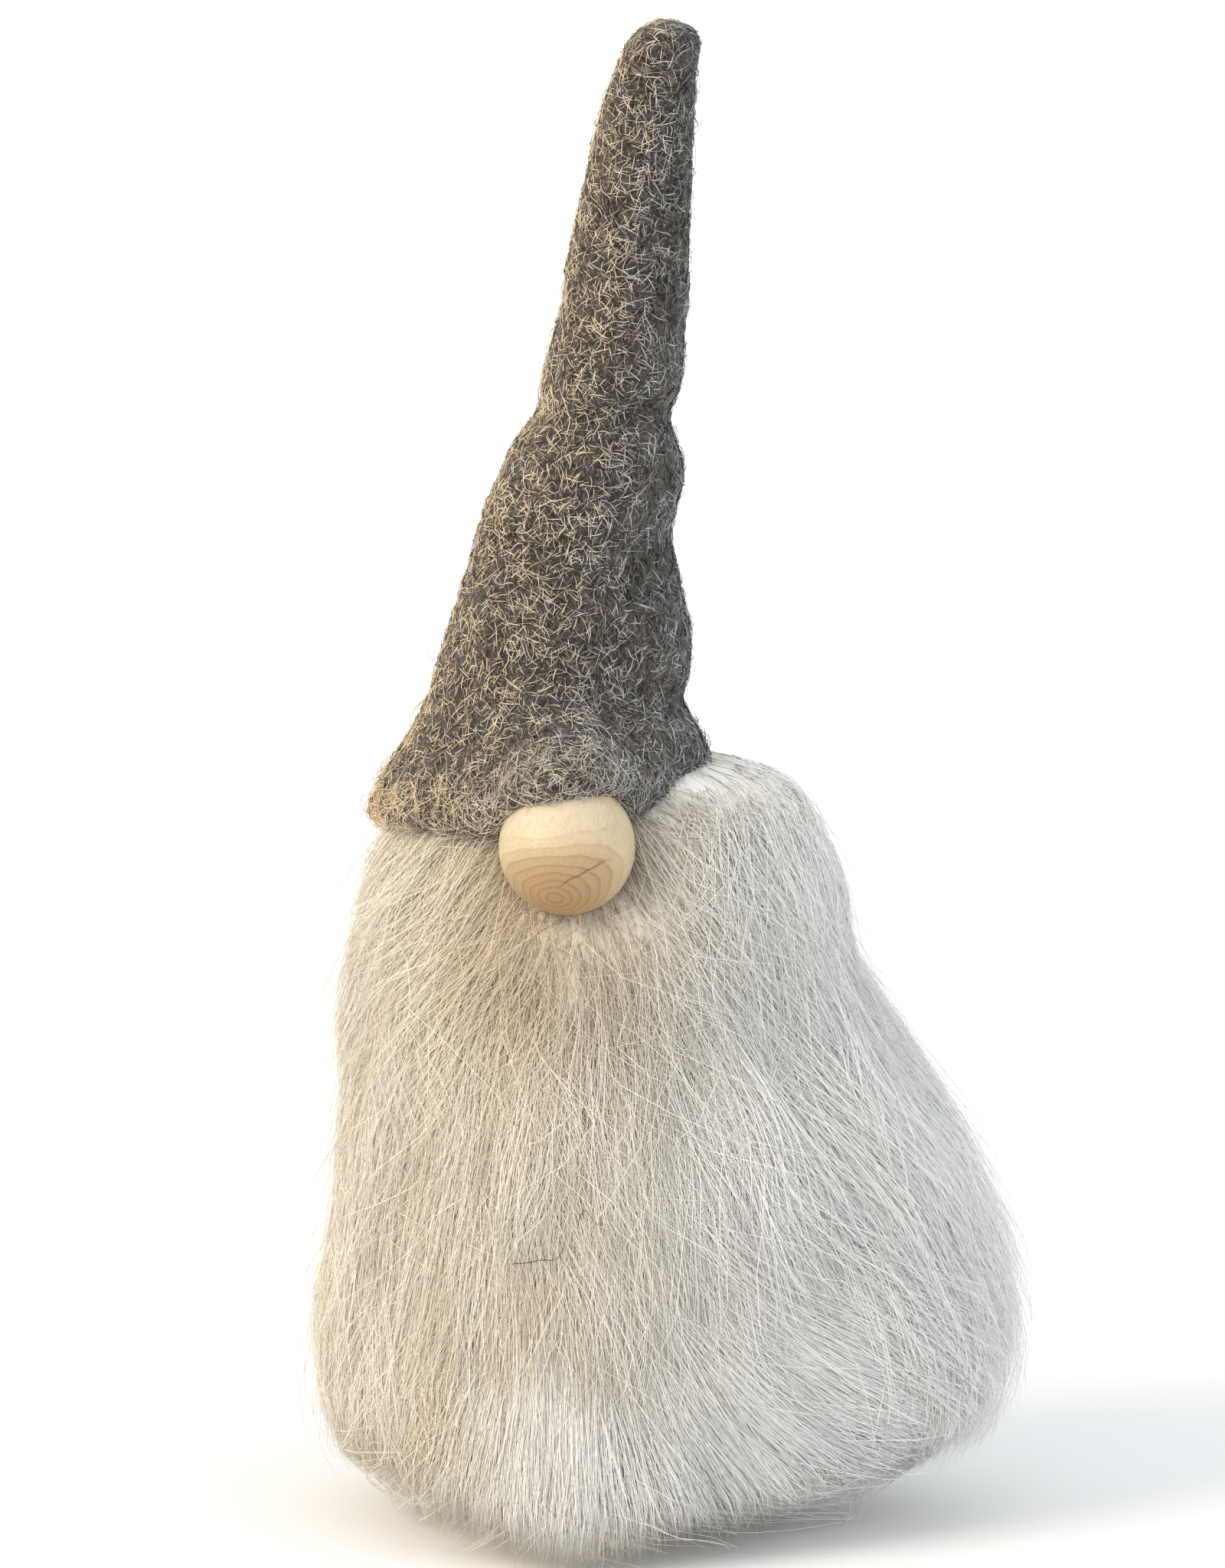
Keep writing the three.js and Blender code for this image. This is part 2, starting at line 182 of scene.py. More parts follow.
COATS = (
    Coat("body", tone=0.6, edges=SECTORS, locks=1650, per_lock=17, heights=(12, 128), length=(40, 74),
         below=(1.4, -0.4), spread=3.2, clump=0.22, wave=2.8, tangle=2.2),
    Coat("crown", tone=0.58, edges=HALVES, locks=380, per_lock=17, heights=(108, 138), length=(16, 42),
         below=(1.2, -2.0), spread=3.0, clump=0.15, wave=2.4, tangle=3.6, rise=7),
    Coat("beard", tone=0.64, slot="beard_fur", edges=FRONT_AND_BACK, locks=340, per_lock=17,
         turns=BEARD_TURNS, heights=(46, 118), length=(44, 90), below=(0.3, -0.8), spread=3.0, clump=0.3,
         wave=3.2, tangle=2.4),
    Coat("tangle", tone=0.7, edges=LEFT_AND_RIGHT, locks=4400, per_lock=1, heights=(20, 132),
         length=(12, 34), below=(0.1, -0.8), spread=3.0, clump=0.0, wave=6.0, tangle=6.5, slant=13,
         contrast=0.14),
    Coat("wisps", tone=0.92, edges=FRONT_AND_BACK, locks=250, per_lock=20, heights=(30, 130),
         length=(26, 60), below=(-0.5, -1.9), spread=1.7, clump=0.35, wave=4.0, tangle=1.4, slant=5,
         contrast=0.06, cool=0.12),
    Coat("right_streaks", tone=0.94, locks=70, per_lock=30, turns=(-88, -38), heights=(30, 66),
         length=(30, 50), below=(-0.6, -2.2), spread=1.9, clump=0.2, wave=2.0, tangle=1.2, slant=2,
         cool=0.1),
    Coat("brim_hairs", tone=0.9, locks=110, per_lock=5, turns=(-170, -10), heights=(122, 133),
         length=(10, 24), below=(-0.6, -2.6), spread=2.0, clump=0.2, wave=4, tangle=3.0, rise=15,
         slant=5, fly=2),
    Coat("front_lock", tone=0.95, slot="beard_fur", locks=100, per_lock=28, turns=(-114, -74),
         heights=(34, 56), length=(50, 70), below=(-0.8, -2.6), spread=2.0, clump=0.35, wave=1.4,
         tangle=1.2, contrast=0.06, cool=0.35),
    Coat("side_wisps", tone=0.88, locks=120, per_lock=24, turns=(-58, 12), heights=(44, 108),
         length=(30, 60), below=(-0.4, -3.0), spread=2.2, clump=0.3, wave=2.5, tangle=1.8, fly=9),
    Coat("flyaway", tone=0.8, locks=1900, per_lock=1, heights=(16, 136), length=(18, 48),
         below=(-0.4, -2.6), spread=3, clump=0.0, wave=5.0, tangle=5.0, slant=5, fly=8, contrast=0.12),
)

# Two brown hairs lie loose on the front of the fur: how far aside, how high
STRAY_HAIRS = (
    ((-15.5, 57.5), (-13, 57.8), (-10, 58.6), (-7.5, 58.4), (-6.2, 60.5), (-5.4, 63.5)),
    ((-3.6, 64.5), (-3.2, 66.8), (-2.2, 68.2), (-1.0, 66.6), (0.4, 64.8), (0.8, 63.4)),
)


# ---------------------------------------------------------------- small tools

def smoothstep(low, high, x):
    t = np.clip((x - low) / (high - low), 0, 1)
    return t * t * (3 - 2 * t)


def unit(v):
    return v / np.maximum(np.linalg.norm(v, axis=-1, keepdims=True), 1e-12)


def all_round(count):
    """Evenly spread angles for one whole turn, which starts at the left."""
    return np.linspace(-math.pi, math.pi, count + 1)[:-1]


def plain_map(rows, columns):
    """The pattern of a skin that needs no special one."""
    return np.stack(np.meshgrid(np.linspace(0, 1, columns + 1), np.linspace(0, 1, rows)), axis=-1)


def ring_at(x, reach, angle, z):
    return np.stack([x + reach * np.cos(angle), reach * np.sin(angle), np.full_like(angle, z)], -1)


def between(grid, row, column):
    """Values between the points of a grid whose columns go right round."""
    row = np.clip(row, 0, len(grid) - 1.001)
    columns = grid.shape[1]
    r0, c0 = np.floor(row).astype(int), np.floor(column).astype(int)
    down, along = row - r0, column - c0
    c1, c0 = (c0 + 1) % columns, c0 % columns
    low = grid[r0, c0] * (1 - along) + grid[r0, c1] * along
    high = grid[r0 + 1, c0] * (1 - along) + grid[r0 + 1, c1] * along
    return low * (1 - down) + high * down


def evened(line, times, ends):
    """A row of numbers with its jumps evened out. ends is "edge" for a row, "wrap" for a ring."""
    for _ in range(times):
        padded = np.pad(line, 1, ends)
        line = (padded[:-2] + 2 * line + padded[2:]) / 4
    return line


def quads_between(rows, columns, closed=True):
    """Faces of a grid of points, row after row; closed joins the last column to the first."""
    faces = []
    for low in range(0, (rows - 1) * columns, columns):
        high = low + columns
        for c in range(columns if closed else columns - 1):
            d = (c + 1) % columns
            faces.append((low + c, low + d, high + d, high + c))
    return faces


def surface_tree(mesh):
    return BVHTree.FromPolygons([v.co[:] for v in mesh.vertices], [p.vertices[:] for p in mesh.polygons])


def nose_ball():
    """Middle and radius of the wooden ball, which is flat only at its back."""
    low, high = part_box("nose_ball")
    radius = (high.x - low.x) / 2
    return np.array([(low.x + high.x) / 2, low.y + radius, (low.z + high.z) / 2]), radius


def link(obj):
    bpy.context.scene.collection.objects.link(obj)
    return obj


def skin_object(name, rings, uv, material):
    """One closed skin over rings of points, each a loop about the same way, with a cap at each end.
    uv has one more column than the rings have points, so that the pattern joins up."""
    rows, columns, _ = rings.shape
    row, column = (a.ravel() for a in np.mgrid[0:rows - 1, 0:columns])
    row = np.stack([row, row, row + 1, row + 1], 1)
    column = np.stack([column, column + 1, column + 1, column], 1)
    quads = row * columns + column % columns
    vertices, loops, places = [rings.reshape(-1, 3)], [quads.ravel()], [uv[row, column].reshape(-1, 2)]
    k = np.arange(columns)
    for end, (a, b) in ((0, (k + 1, k)), (rows - 1, (k, k + 1))):
        middle = rows * columns + len(vertices) - 1
        vertices.append(rings[end].mean(0)[None])
        first, second = end * columns + a % columns, end * columns + b % columns
        loops.append(np.stack([first, second, np.full(columns, middle)], 1).ravel())
        places.append(np.stack([uv[end, a], uv[end, b], (uv[end, a] + uv[end, b]) / 2], 1).reshape(-1, 2))
    sizes = np.concatenate([np.full(len(quads), 4), np.full(2 * columns, 3)])
    mesh = raw_mesh(name, np.concatenate(vertices), np.concatenate(loops), sizes, material)
    layer = mesh.uv_layers.new(name=PALETTE_MAP)
    layer.data.foreach_set("uv", np.concatenate(places).astype(np.float32).ravel())
    mesh.update()
    return link(bpy.data.objects.new(name, mesh))


def raw_mesh(name, vertices, loops, sizes, material):
    mesh = bpy.data.meshes.new(name)
    mesh.vertices.add(len(vertices))
    mesh.vertices.foreach_set("co", vertices.astype(np.float32).ravel())
    mesh.loops.add(len(loops))
    mesh.loops.foreach_set("vertex_index", loops.astype(np.int32))
    mesh.polygons.add(len(sizes))
    starts = np.concatenate([[0], np.cumsum(sizes)[:-1]])
    mesh.polygons.foreach_set("loop_start", starts.astype(np.int32))
    mesh.polygons.foreach_set("loop_total", sizes.astype(np.int32))
    mesh.update(calc_edges=True)
    mesh.polygons.foreach_set("use_smooth", np.ones(len(sizes), bool))
    mesh.materials.append(material)
    return mesh


def mesh_object(name, vertices, faces, material, uv=None):
    """A mesh object; uv holds one palette place for each vertex."""
    mesh = bpy.data.meshes.new(name)
    mesh.from_pydata([tuple(v) for v in vertices], [], faces)
    mesh.materials.append(material)
    mesh.polygons.foreach_set("use_smooth", [True] * len(mesh.polygons))
    if uv is not None:
        set_uv(mesh, uv)
    mesh.update()
    return link(bpy.data.objects.new(name, mesh))


def set_uv(mesh, uv):
    layer = mesh.uv_layers.new(name=PALETTE_MAP)
    index = np.zeros(len(mesh.loops), np.int32)
    mesh.loops.foreach_get("vertex_index", index)
    layer.data.foreach_set("uv", np.asarray(uv, np.float32)[index].ravel())


def strand_object(name, paths, radius, palette, material, rng):
    """Many tapered three-sided strands as one mesh. paths is (strands, points, 3), radius one
    number for each strand, and palette (strands, points, 2)."""
    count, points, _ = paths.shape
    rings = points - 1
    tangent = unit(np.gradient(paths, axis=1))
    side = rng.normal(size=(count, 1, 3))
    side = unit(side - (side * tangent).sum(-1, keepdims=True) * tangent)
    across = np.cross(tangent, side)
    along = np.linspace(0, 1, points)[:rings]
    taper = np.minimum(1, 0.7 + 2 * along) * (1 - 0.75 * along ** 3)
    reach = radius[:, None, None] * taper[None, :, None]
    corners = []
    for i in range(FUR_SIDES):
        angle = 2 * math.pi * i / FUR_SIDES
        offset = math.cos(angle) * side[:, :rings] + math.sin(angle) * across[:, :rings]
        corners.append(paths[:, :rings] + reach * offset)
    vertices = np.concatenate([np.stack(corners, axis=2).reshape(-1, 3), paths[:, -1]])
    fan = (np.arange(FUR_SIDES) - 1) * PALETTE_SPREAD
    uv_rings = np.repeat(palette[:, :rings, None], FUR_SIDES, axis=2)
    uv_rings[..., 0] += fan
    uv = np.clip(np.concatenate([uv_rings.reshape(-1, 2), palette[:, -1]]), 0.001, 0.999)

    base = (np.arange(count) * rings * FUR_SIDES)[:, None]
    quads, tips = [], []
    last = (rings - 1) * FUR_SIDES
    tip = (count * rings * FUR_SIDES + np.arange(count))[:, None]
    for i in range(FUR_SIDES):
        j = (i + 1) % FUR_SIDES
        tips.append(np.concatenate([base + last + i, base + last + j, tip], axis=1))
        for r in range(rings - 1):
            low, high = r * FUR_SIDES, (r + 1) * FUR_SIDES
            quads.append(base + np.array([low + i, low + j, high + j, high + i]))
    tips.append(base + np.array([2, 1, 0]))
    quads, tips = np.concatenate(quads), np.concatenate(tips)
    loops = np.concatenate([quads.ravel(), tips.ravel()])
    sizes = np.concatenate([np.full(len(quads), 4), np.full(len(tips), 3)])
    mesh = raw_mesh(name, vertices, loops, sizes, material)
    set_uv(mesh, uv)
    mesh.update()
    return link(bpy.data.objects.new(name, mesh))


def wavy(points, scale, seed):
    """Smooth noise from -1 to 1 at each of many points."""
    places = points.reshape(-1, 3) / scale + np.array([7.3, 3.1, 1.7]) * seed
    return np.array([noise.noise(p) for p in places]).reshape(points.shape[:-1])


# ---------------------------------------------------------------- materials

def grey(level):
    return (level, level, level)


class Nodes:
    """A material's node tree with its Principled shader, and short ways to add to it."""

    def __init__(self, name, roughness, **sockets):
        self.material = bpy.data.materials.new(name)
        self.material.use_nodes = True
        self.tree = self.material.node_tree
        self.shader = self.tree.nodes["Principled BSDF"]
        self.set(self.shader, Roughness=roughness, **sockets)

    def set(self, node, **sockets):
        """Sets sockets by name, with _ in place of a space."""
        for socket, value in sockets.items():
            node.inputs[socket.replace("_", " ")].default_value = value

    def add(self, kind, **settings):
        node = self.tree.nodes.new(kind)
        for key, value in settings.items():
            setattr(node, key, value)
        return node

    def join(self, source, target):
        self.tree.links.new(source, target)

    def math(self, operation, a, b=0.0):
        node = self.add("ShaderNodeMath", operation=operation)
        for socket, value in zip(node.inputs, (a, b)):
            if isinstance(value, (int, float)):
                socket.default_value = value
            else:
                self.join(value, socket)
        return node.outputs[0]

    def plus(self, a, b):
        return self.math("ADD", a, b)

    def minus(self, a, b):
        return self.math("SUBTRACT", a, b)

    def times(self, a, b):
        return self.math("MULTIPLY", a, b)

    def ramp(self, factor, stops):
        node = self.add("ShaderNodeValToRGB")
        elements = node.color_ramp.elements
        while len(elements) < len(stops):
            elements.new(0.5)
        for element, (place, colour) in zip(elements, stops):
            element.position = place
            element.color = (*colour, 1) if len(colour) == 3 else colour
        self.join(factor, node.inputs["Fac"])
        return node.outputs["Color"]

    def mix(self, factor, a, b, blend="MIX"):
        """A colour mix. Its sockets are found by type, because their names repeat on the node."""
        node = self.add("ShaderNodeMix", data_type="RGBA", blend_type=blend)
        low, high = [socket for socket in node.inputs if socket.type == "RGBA"]
        for socket, value in ((node.inputs[0], factor), (low, a), (high, b)):
            if isinstance(value, (int, float)):
                socket.default_value = value
            elif isinstance(value, tuple):
                socket.default_value = (*value, 1)
            else:
                self.join(value, socket)
        return [socket for socket in node.outputs if socket.type == "RGBA"][0]

    def noise(self, vector, scale, detail=3.0, roughness=0.55, distortion=0.0):
        node = self.add("ShaderNodeTexNoise")
        self.set(node, Scale=scale, Detail=detail, Roughness=roughness, Distortion=distortion)
        self.join(vector, node.inputs["Vector"])
        return node.outputs["Fac"]

    def mapped(self, vector, scale=(1, 1, 1), rotation=(0, 0, 0)):
        node = self.add("ShaderNodeMapping")
        self.set(node, Scale=scale, Rotation=rotation)
        self.join(vector, node.inputs["Vector"])
        return node.outputs["Vector"]

    def object_place(self):
        return self.add("ShaderNodeTexCoord").outputs["Object"]

    def palette_place(self):
        return self.add("ShaderNodeUVMap", uv_map=PALETTE_MAP).outputs["UV"]

    def bump(self, height, strength, distance):
        node = self.add("ShaderNodeBump")
        self.set(node, Strength=strength, Distance=distance)
        self.join(height, node.inputs["Height"])
        self.join(node.outputs["Normal"], self.shader.inputs["Normal"])

    def colour(self, socket):
        self.join(socket, self.shader.inputs["Base Color"])


def strand_material(name, warm, cool, roughness):
    """Colour by palette place: across from cool to warm, and up from dark to light."""
    nodes = Nodes(name, roughness, Specular_IOR_Level=0.35)
    split = nodes.add("ShaderNodeSeparateXYZ")
    nodes.join(nodes.palette_place(), split.inputs[0])
    warm_colour = nodes.ramp(split.outputs["Y"], warm)
    cool_colour = nodes.ramp(split.outputs["Y"], cool)
    nodes.colour(nodes.mix(split.outputs["X"], cool_colour, warm_colour))
    return nodes.material


def felt_material():
    """Boiled wool: fibres matted in several directions, light over dark."""
    nodes = Nodes("hat_felt", 0.92, Specular_IOR_Level=0.2, Sheen_Weight=0.25, Sheen_Roughness=0.6)
    flat = nodes.palette_place()
    strands = []
    for angle, scale in ((0.35, 520), (1.4, 460), (-0.75, 600), (2.4, 480)):
        turned = nodes.mapped(flat, scale=(1, 0.16, 1), rotation=(0, 0, angle))
        strands.append(nodes.noise(turned, scale, 2.5, 0.6, 0.8))
    fibres = strands[0]
    for strand in strands[1:]:
        fibres = nodes.math("MAXIMUM", fibres, strand)
    gaps = nodes.noise(flat, 190, 4, 0.65)
    dark = nodes.ramp(gaps, [(0.40, (0.010, 0.008, 0.007)), (0.62, (0.075, 0.062, 0.050))])
    drift = nodes.noise(flat, 14, 2)
    pale = nodes.ramp(drift, [(0.35, (0.24, 0.19, 0.14)), (0.65, (0.42, 0.36, 0.29))])
    light = nodes.ramp(fibres, [(0.62, grey(0)), (0.78, grey(1))])
    nodes.colour(nodes.mix(light, dark, pale))
    height = nodes.plus(nodes.times(fibres, 1.4), nodes.times(gaps, 0.8))
    nodes.bump(height, 0.7, 0.4 * MM)
    return nodes.material


def wood_material(radius):
    """Softwood ball, its growth rings round an axis that comes out low on the front."""
    nodes = Nodes("nose_wood", 0.48, Specular_IOR_Level=0.4)
    axis = Vector(WOOD_AXIS).normalized()
    turn = axis.rotation_difference(Vector((0, 0, 1))).to_euler()
    place = nodes.object_place()
    turned = nodes.mapped(place, rotation=tuple(turn))
    split = nodes.add("ShaderNodeSeparateXYZ")
    nodes.join(turned, split.inputs[0])
    across = nodes.math("POWER", nodes.times(split.outputs["X"], 0.8), 2)
    reach = nodes.math("SQRT", nodes.plus(across, nodes.math("POWER", split.outputs["Y"], 2)))
    warp = nodes.noise(turned, 110, 2)
    reach = nodes.plus(reach, nodes.times(nodes.minus(warp, 0.5), 1.9 * MM))
    phase = nodes.math("FRACT", nodes.times(reach, 1 / RING_WIDTH))
    late = nodes.ramp(phase, [(0.0, grey(0)), (0.6, grey(0.3)), (0.88, grey(1)), (1.0, grey(0))])
    share = nodes.times(reach, 1 / radius)
    heart = nodes.ramp(share, [
        (0.0, (0.40, 0.25, 0.12)), (0.35, (0.42, 0.27, 0.14)), (0.58, (0.47, 0.33, 0.18)),
        (0.76, (0.60, 0.48, 0.30)), (1.0, (0.68, 0.58, 0.41)),
    ])
    depth = nodes.ramp(share, [(0.0, grey(0.8)), (0.6, grey(0.5)), (0.82, grey(0.16)), (1.0, grey(0.03))])
    ring = nodes.mix(nodes.times(late, depth), heart, (0.27, 0.145, 0.06))
    pores = nodes.noise(nodes.mapped(turned, scale=(1, 1, 0.06)), 2600, 2, 0.6)
    speck = nodes.ramp(pores, [(0.36, grey(0.88)), (0.5, grey(1))])
    wood = nodes.mix(1.0, ring, speck, "MULTIPLY")
    crack = wood_crack(nodes, place)
    nodes.colour(nodes.mix(crack, wood, (0.10, 0.05, 0.025)))
    height = nodes.plus(nodes.times(late, -0.4), pores)
    nodes.bump(nodes.minus(height, nodes.times(crack, 3.0)), 0.22, 0.12 * MM)
    return nodes.material


def wood_crack(nodes, place):
    """A hairline check across the front: near a plane, and between two places along it."""
    split = nodes.add("ShaderNodeSeparateXYZ")
    nodes.join(place, split.inputs[0])
    wobble = nodes.times(nodes.minus(nodes.noise(place, 260, 2), 0.5), 1.3 * MM)
    total = wobble
    for axis, share in zip("XYZ", CRACK_NORMAL):
        total = nodes.plus(total, nodes.times(split.outputs[axis], share))
    away = nodes.math("ABSOLUTE", nodes.minus(total, CRACK_PLACE))
    thin = nodes.ramp(nodes.times(away, 1 / CRACK_WIDTH), [(0.25, grey(1)), (1.0, grey(0))])
    along = nodes.plus(nodes.times(split.outputs["X"], 1 / (14 * MM)), 0.2)
    ends = nodes.ramp(along, [(0.04, grey(0)), (0.2, grey(0.6)), (0.6, grey(0.6)), (0.82, grey(0))])
    ahead = nodes.times(split.outputs["Y"], -1 / (8 * MM))
    front = nodes.ramp(ahead, [(0.1, grey(0)), (0.4, grey(1))])
    return nodes.times(nodes.times(thin, ends), front)


def cloth_material(name, light, dark, threads):
    """Plain woven cloth, with threads running both ways."""
    nodes = Nodes(name, 0.9, Specular_IOR_Level=0.2)
    place = nodes.object_place()
    over = nodes.add("ShaderNodeTexWave", wave_type="BANDS", bands_direction="X")
    up = nodes.add("ShaderNodeTexWave", wave_type="BANDS", bands_direction="Z")
    for wave in (over, up):
        wave.inputs["Scale"].default_value = threads
        wave.inputs["Distortion"].default_value = 1.5
        nodes.join(place, wave.inputs["Vector"])
    weave = nodes.times(over.outputs["Fac"], up.outputs["Fac"])
    wear = nodes.noise(place, 70, 3)
    nodes.colour(nodes.mix(nodes.times(weave, wear), dark, light))
    nodes.bump(weave, 0.5, 0.2 * MM)
    return nodes.material


def fluffy_material(name, light, dark, scale, roughness=0.95):
    """Loose or matted matter without a weave: stuffing, felt, sand, board."""
    nodes = Nodes(name, roughness, Specular_IOR_Level=0.2)
    place = nodes.object_place()
    lumps = nodes.noise(place, scale, 4, 0.65, 0.4)
    colour = nodes.ramp(lumps, [(0.35, dark), (0.65, light)])
    nodes.colour(colour)
    nodes.bump(lumps, 0.6, 0.3 * MM)
    return nodes.material


def cord_material(name, light, dark):
    """Twisted thread: slanting plies."""
    nodes = Nodes(name, 0.8, Specular_IOR_Level=0.3)
    place = nodes.mapped(nodes.object_place(), rotation=(0.6, 0.5, 0.4))
    plies = nodes.add("ShaderNodeTexWave", wave_type="BANDS", bands_direction="DIAGONAL")
    plies.inputs["Scale"].default_value = 900
    plies.inputs["Distortion"].default_value = 2
    nodes.join(place, plies.inputs["Vector"])
    nodes.colour(nodes.mix(plies.outputs["Fac"], dark, light))
    nodes.bump(plies.outputs["Fac"], 0.6, 0.15 * MM)
    return nodes.material


def glue_material():
    """Set hot-melt glue: cloudy amber, smooth, with faint strings."""
    nodes = Nodes("glue", 0.28, Specular_IOR_Level=0.5)
    cloud = nodes.noise(nodes.object_place(), 300, 3)
    nodes.colour(nodes.ramp(cloud, [(0.3, (0.55, 0.47, 0.30)), (0.7, (0.75, 0.69, 0.52))]))
    nodes.bump(cloud, 0.3, 0.2 * MM)
    return nodes.material


def wire_material():
    """Galvanised wire: grey with streaks along it."""
    nodes = Nodes("wire", 0.4, Metallic=1.0)
    streaks = nodes.noise(nodes.mapped(nodes.object_place(), scale=(1, 1, 0.1)), 900, 3)
    nodes.colour(nodes.ramp(streaks, [(0.35, (0.32, 0.32, 0.33)), (0.65, (0.55, 0.55, 0.56))]))
    nodes.bump(streaks, 0.2, 0.05 * MM)
    return nodes.material


# ---------------------------------------------------------------- the space the fur grows in

def tree_of(node):
    return surface_tree(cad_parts[node].data)


def reach_to(trees, centre, angle):
    """Distance from a point on the centre line to the outermost surface at an angle."""
    out = Vector((math.cos(angle), math.sin(angle), 0))
    far = 0.2
    hits = [t.ray_cast(centre + out * far, -out, far) for t in trees]
    found = [far - h[3] for h in hits if h[0] is not None]
    return max(found) if found else 0.0


def smooth_rows(grid, times):
    """A grid with its jumps evened out, its columns going right round."""
    for _ in range(times):
        padded = np.pad(grid, ((1, 1), (0, 0)), "edge")
        grid = (padded[:-2] + 2 * grid + padded[2:]) / 4
        grid = (np.roll(grid, 1, 1) + 2 * grid + np.roll(grid, -1, 1)) / 4
    return grid


class FurSpace:
    """The space between the body sack and the outside of the fur, by angle and height. Angle 0 is to
    the right and a quarter turn less is the front."""

    def __init__(self):
        sack, wrap, beard = tree_of("body_sack"), tree_of("body_fur_wrap"), tree_of("beard_fur")
        self.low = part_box("body_fur_wrap")[0].z
        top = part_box("body_fur_wrap")[1].z - 1 * MM
        self.rows = np.arange(self.low + 0.5 * MM, FUR_TOP, FUR_GRID_STEP)
        self.turns = all_round(72)
        centre, core, outer = [], [], []
        for z in self.rows:
            z_sack = max(z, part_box("body_sack")[0].z + 1 * MM)
            left = reach_to([sack], Vector((0, 0, z_sack)), math.pi)
            right = reach_to([sack], Vector((0, 0, z_sack)), 0)
            middle = (right - left) / 2
            centre.append(middle)
            here, wrap_here = Vector((middle, 0, z_sack)), Vector((middle, 0, min(z, top)))
            core.append([reach_to([sack], here, a) for a in self.turns])
            outer.append([reach_to([wrap, beard], wrap_here, a) for a in self.turns])
        self.centre = np.array(centre)
        self.core = smooth_rows(np.array(core), 2)
        self.outer = smooth_rows(np.array(outer), 4)
        self.round_shoulder(top)
        self.flare_front_lock()
        self.ruffle()

    def round_shoulder(self, top):
        """Above the wrap the fur's outside rounds over, highest on the right beside the brim."""
        right = np.clip(np.cos(self.turns), 0, 1)
        front = np.clip(-np.sin(self.turns), 0, 1)
        height = (5 + 12 * right + 4 * front) * MM
        rise = np.clip((self.rows[:, None] - top) / height[None, :], 0, 1)
        self.outer = self.core + (self.outer - self.core) * np.sqrt(np.clip(1 - rise ** 2.5, 0.02, 1))

    def flare_front_lock(self):
        """The long lock at the front runs out to the floor instead of tucking in."""
        aside = (self.turns - LOCK_TURN) / math.radians(26)
        drop = np.clip((LOCK_FLARE_TOP - self.rows) / LOCK_FLARE_TOP, 0, 1)
        self.outer = self.outer + LOCK_FLARE * drop[:, None] * np.exp(-aside ** 2)[None, :]

    def ruffle(self):
        """Long fur never lies in an even outline: it stands out in tufts."""
        angle, height = np.meshgrid(self.turns, self.rows)
        skin = self.place(angle, height, np.ones_like(angle)) * np.array([1, 1, 0.6])
        self.outer = self.outer + (wavy(skin, 15 * MM, 31) * 2.4 + wavy(skin, 7 * MM, 32) * 1.2) * MM

    def look_up(self, grid, angle, height):
        turn = self.turns[1] - self.turns[0]
        return between(grid, (height - self.rows[0]) / FUR_GRID_STEP, (angle - self.turns[0]) / turn)

    def at(self, angle, height, reach):
        x = np.interp(height, self.rows, self.centre) + reach * np.cos(angle)
        return np.stack([x, reach * np.sin(angle), height], axis=-1)

    def place(self, angle, height, depth):
        """A place at a depth from 0, on the body sack, to 1, on the outside of the fur."""
        inner, outer = self.look_up(self.core, angle, height), self.look_up(self.outer, angle, height)
        return self.at(angle, height, inner + (outer - inner) * depth)

    def place_below(self, angle, height, below):
        """A place that lies a number of metres under the fur's outside, or above it if negative."""
        inner, outer = self.look_up(self.core, angle, height), self.look_up(self.outer, angle, height)
        return self.at(angle, height, np.maximum(outer - below, np.minimum(inner, outer)))

    def hem(self, angle):
        """Height at which the trimmed fur ends: lowest in the front lock, highest at the sides."""
        front = np.exp(-((angle - LOCK_TURN) / math.radians(24)) ** 2)
        back = np.exp(-((np.abs(angle) - math.radians(90)) / math.radians(50)) ** 2) * (angle > 0)
        return (10 - 9 * front - 5 * back) * MM


# ---------------------------------------------------------------- fur

def spread_roots(space, count, turns, heights, rng):
    """Roots spread evenly over a patch of the body: denser in angle where the fur is wider."""
    angles = np.linspace(turns[0], turns[1], 200)
    weight = space.look_up(space.outer, angles, np.full(200, np.mean(heights)))
    share = np.concatenate([[0], np.cumsum(weight)[:-1]]) / np.sum(weight)
    index = np.arange(count)
    u = (index * ROOT_STEPS[0] + rng.random()) % 1
    v = (index * ROOT_STEPS[1] + rng.random()) % 1
    u = (u + rng.normal(0, 0.5 / math.sqrt(count), count)) % 1
    return np.interp(u, share, angles), heights[0] + (heights[1] - heights[0]) * v


def part_round_nose(angle, height, space):
    """Sideways push that makes the fur fan out to both sides of the nose."""
    nose, _ = nose_ball()
    x = space.place(angle, height, np.full_like(angle, 0.7))[..., 0] - nose[0]
    near = np.exp(-(x / (20 * MM)) ** 2) * smoothstep(nose[2] - 30 * MM, nose[2], height)
    return np.where(x > 0, 1, -1) * near * (angle < 0) * 15 * MM


def flow(angle, height):
    """Which way the fur is combed, as a sideways drift in metres over one strand's length."""
    degrees = np.degrees(angle)
    low = smoothstep(100 * MM, 55 * MM, height)
    right_front = np.exp(-((degrees + 58) / 27) ** 2) * low
    left_front = np.exp(-((degrees + 135) / 30) ** 2)
    right = np.exp(-((degrees - 30) / 50) ** 2) * low
    return (56 * right_front - 7 * left_front - 6 * right) * MM


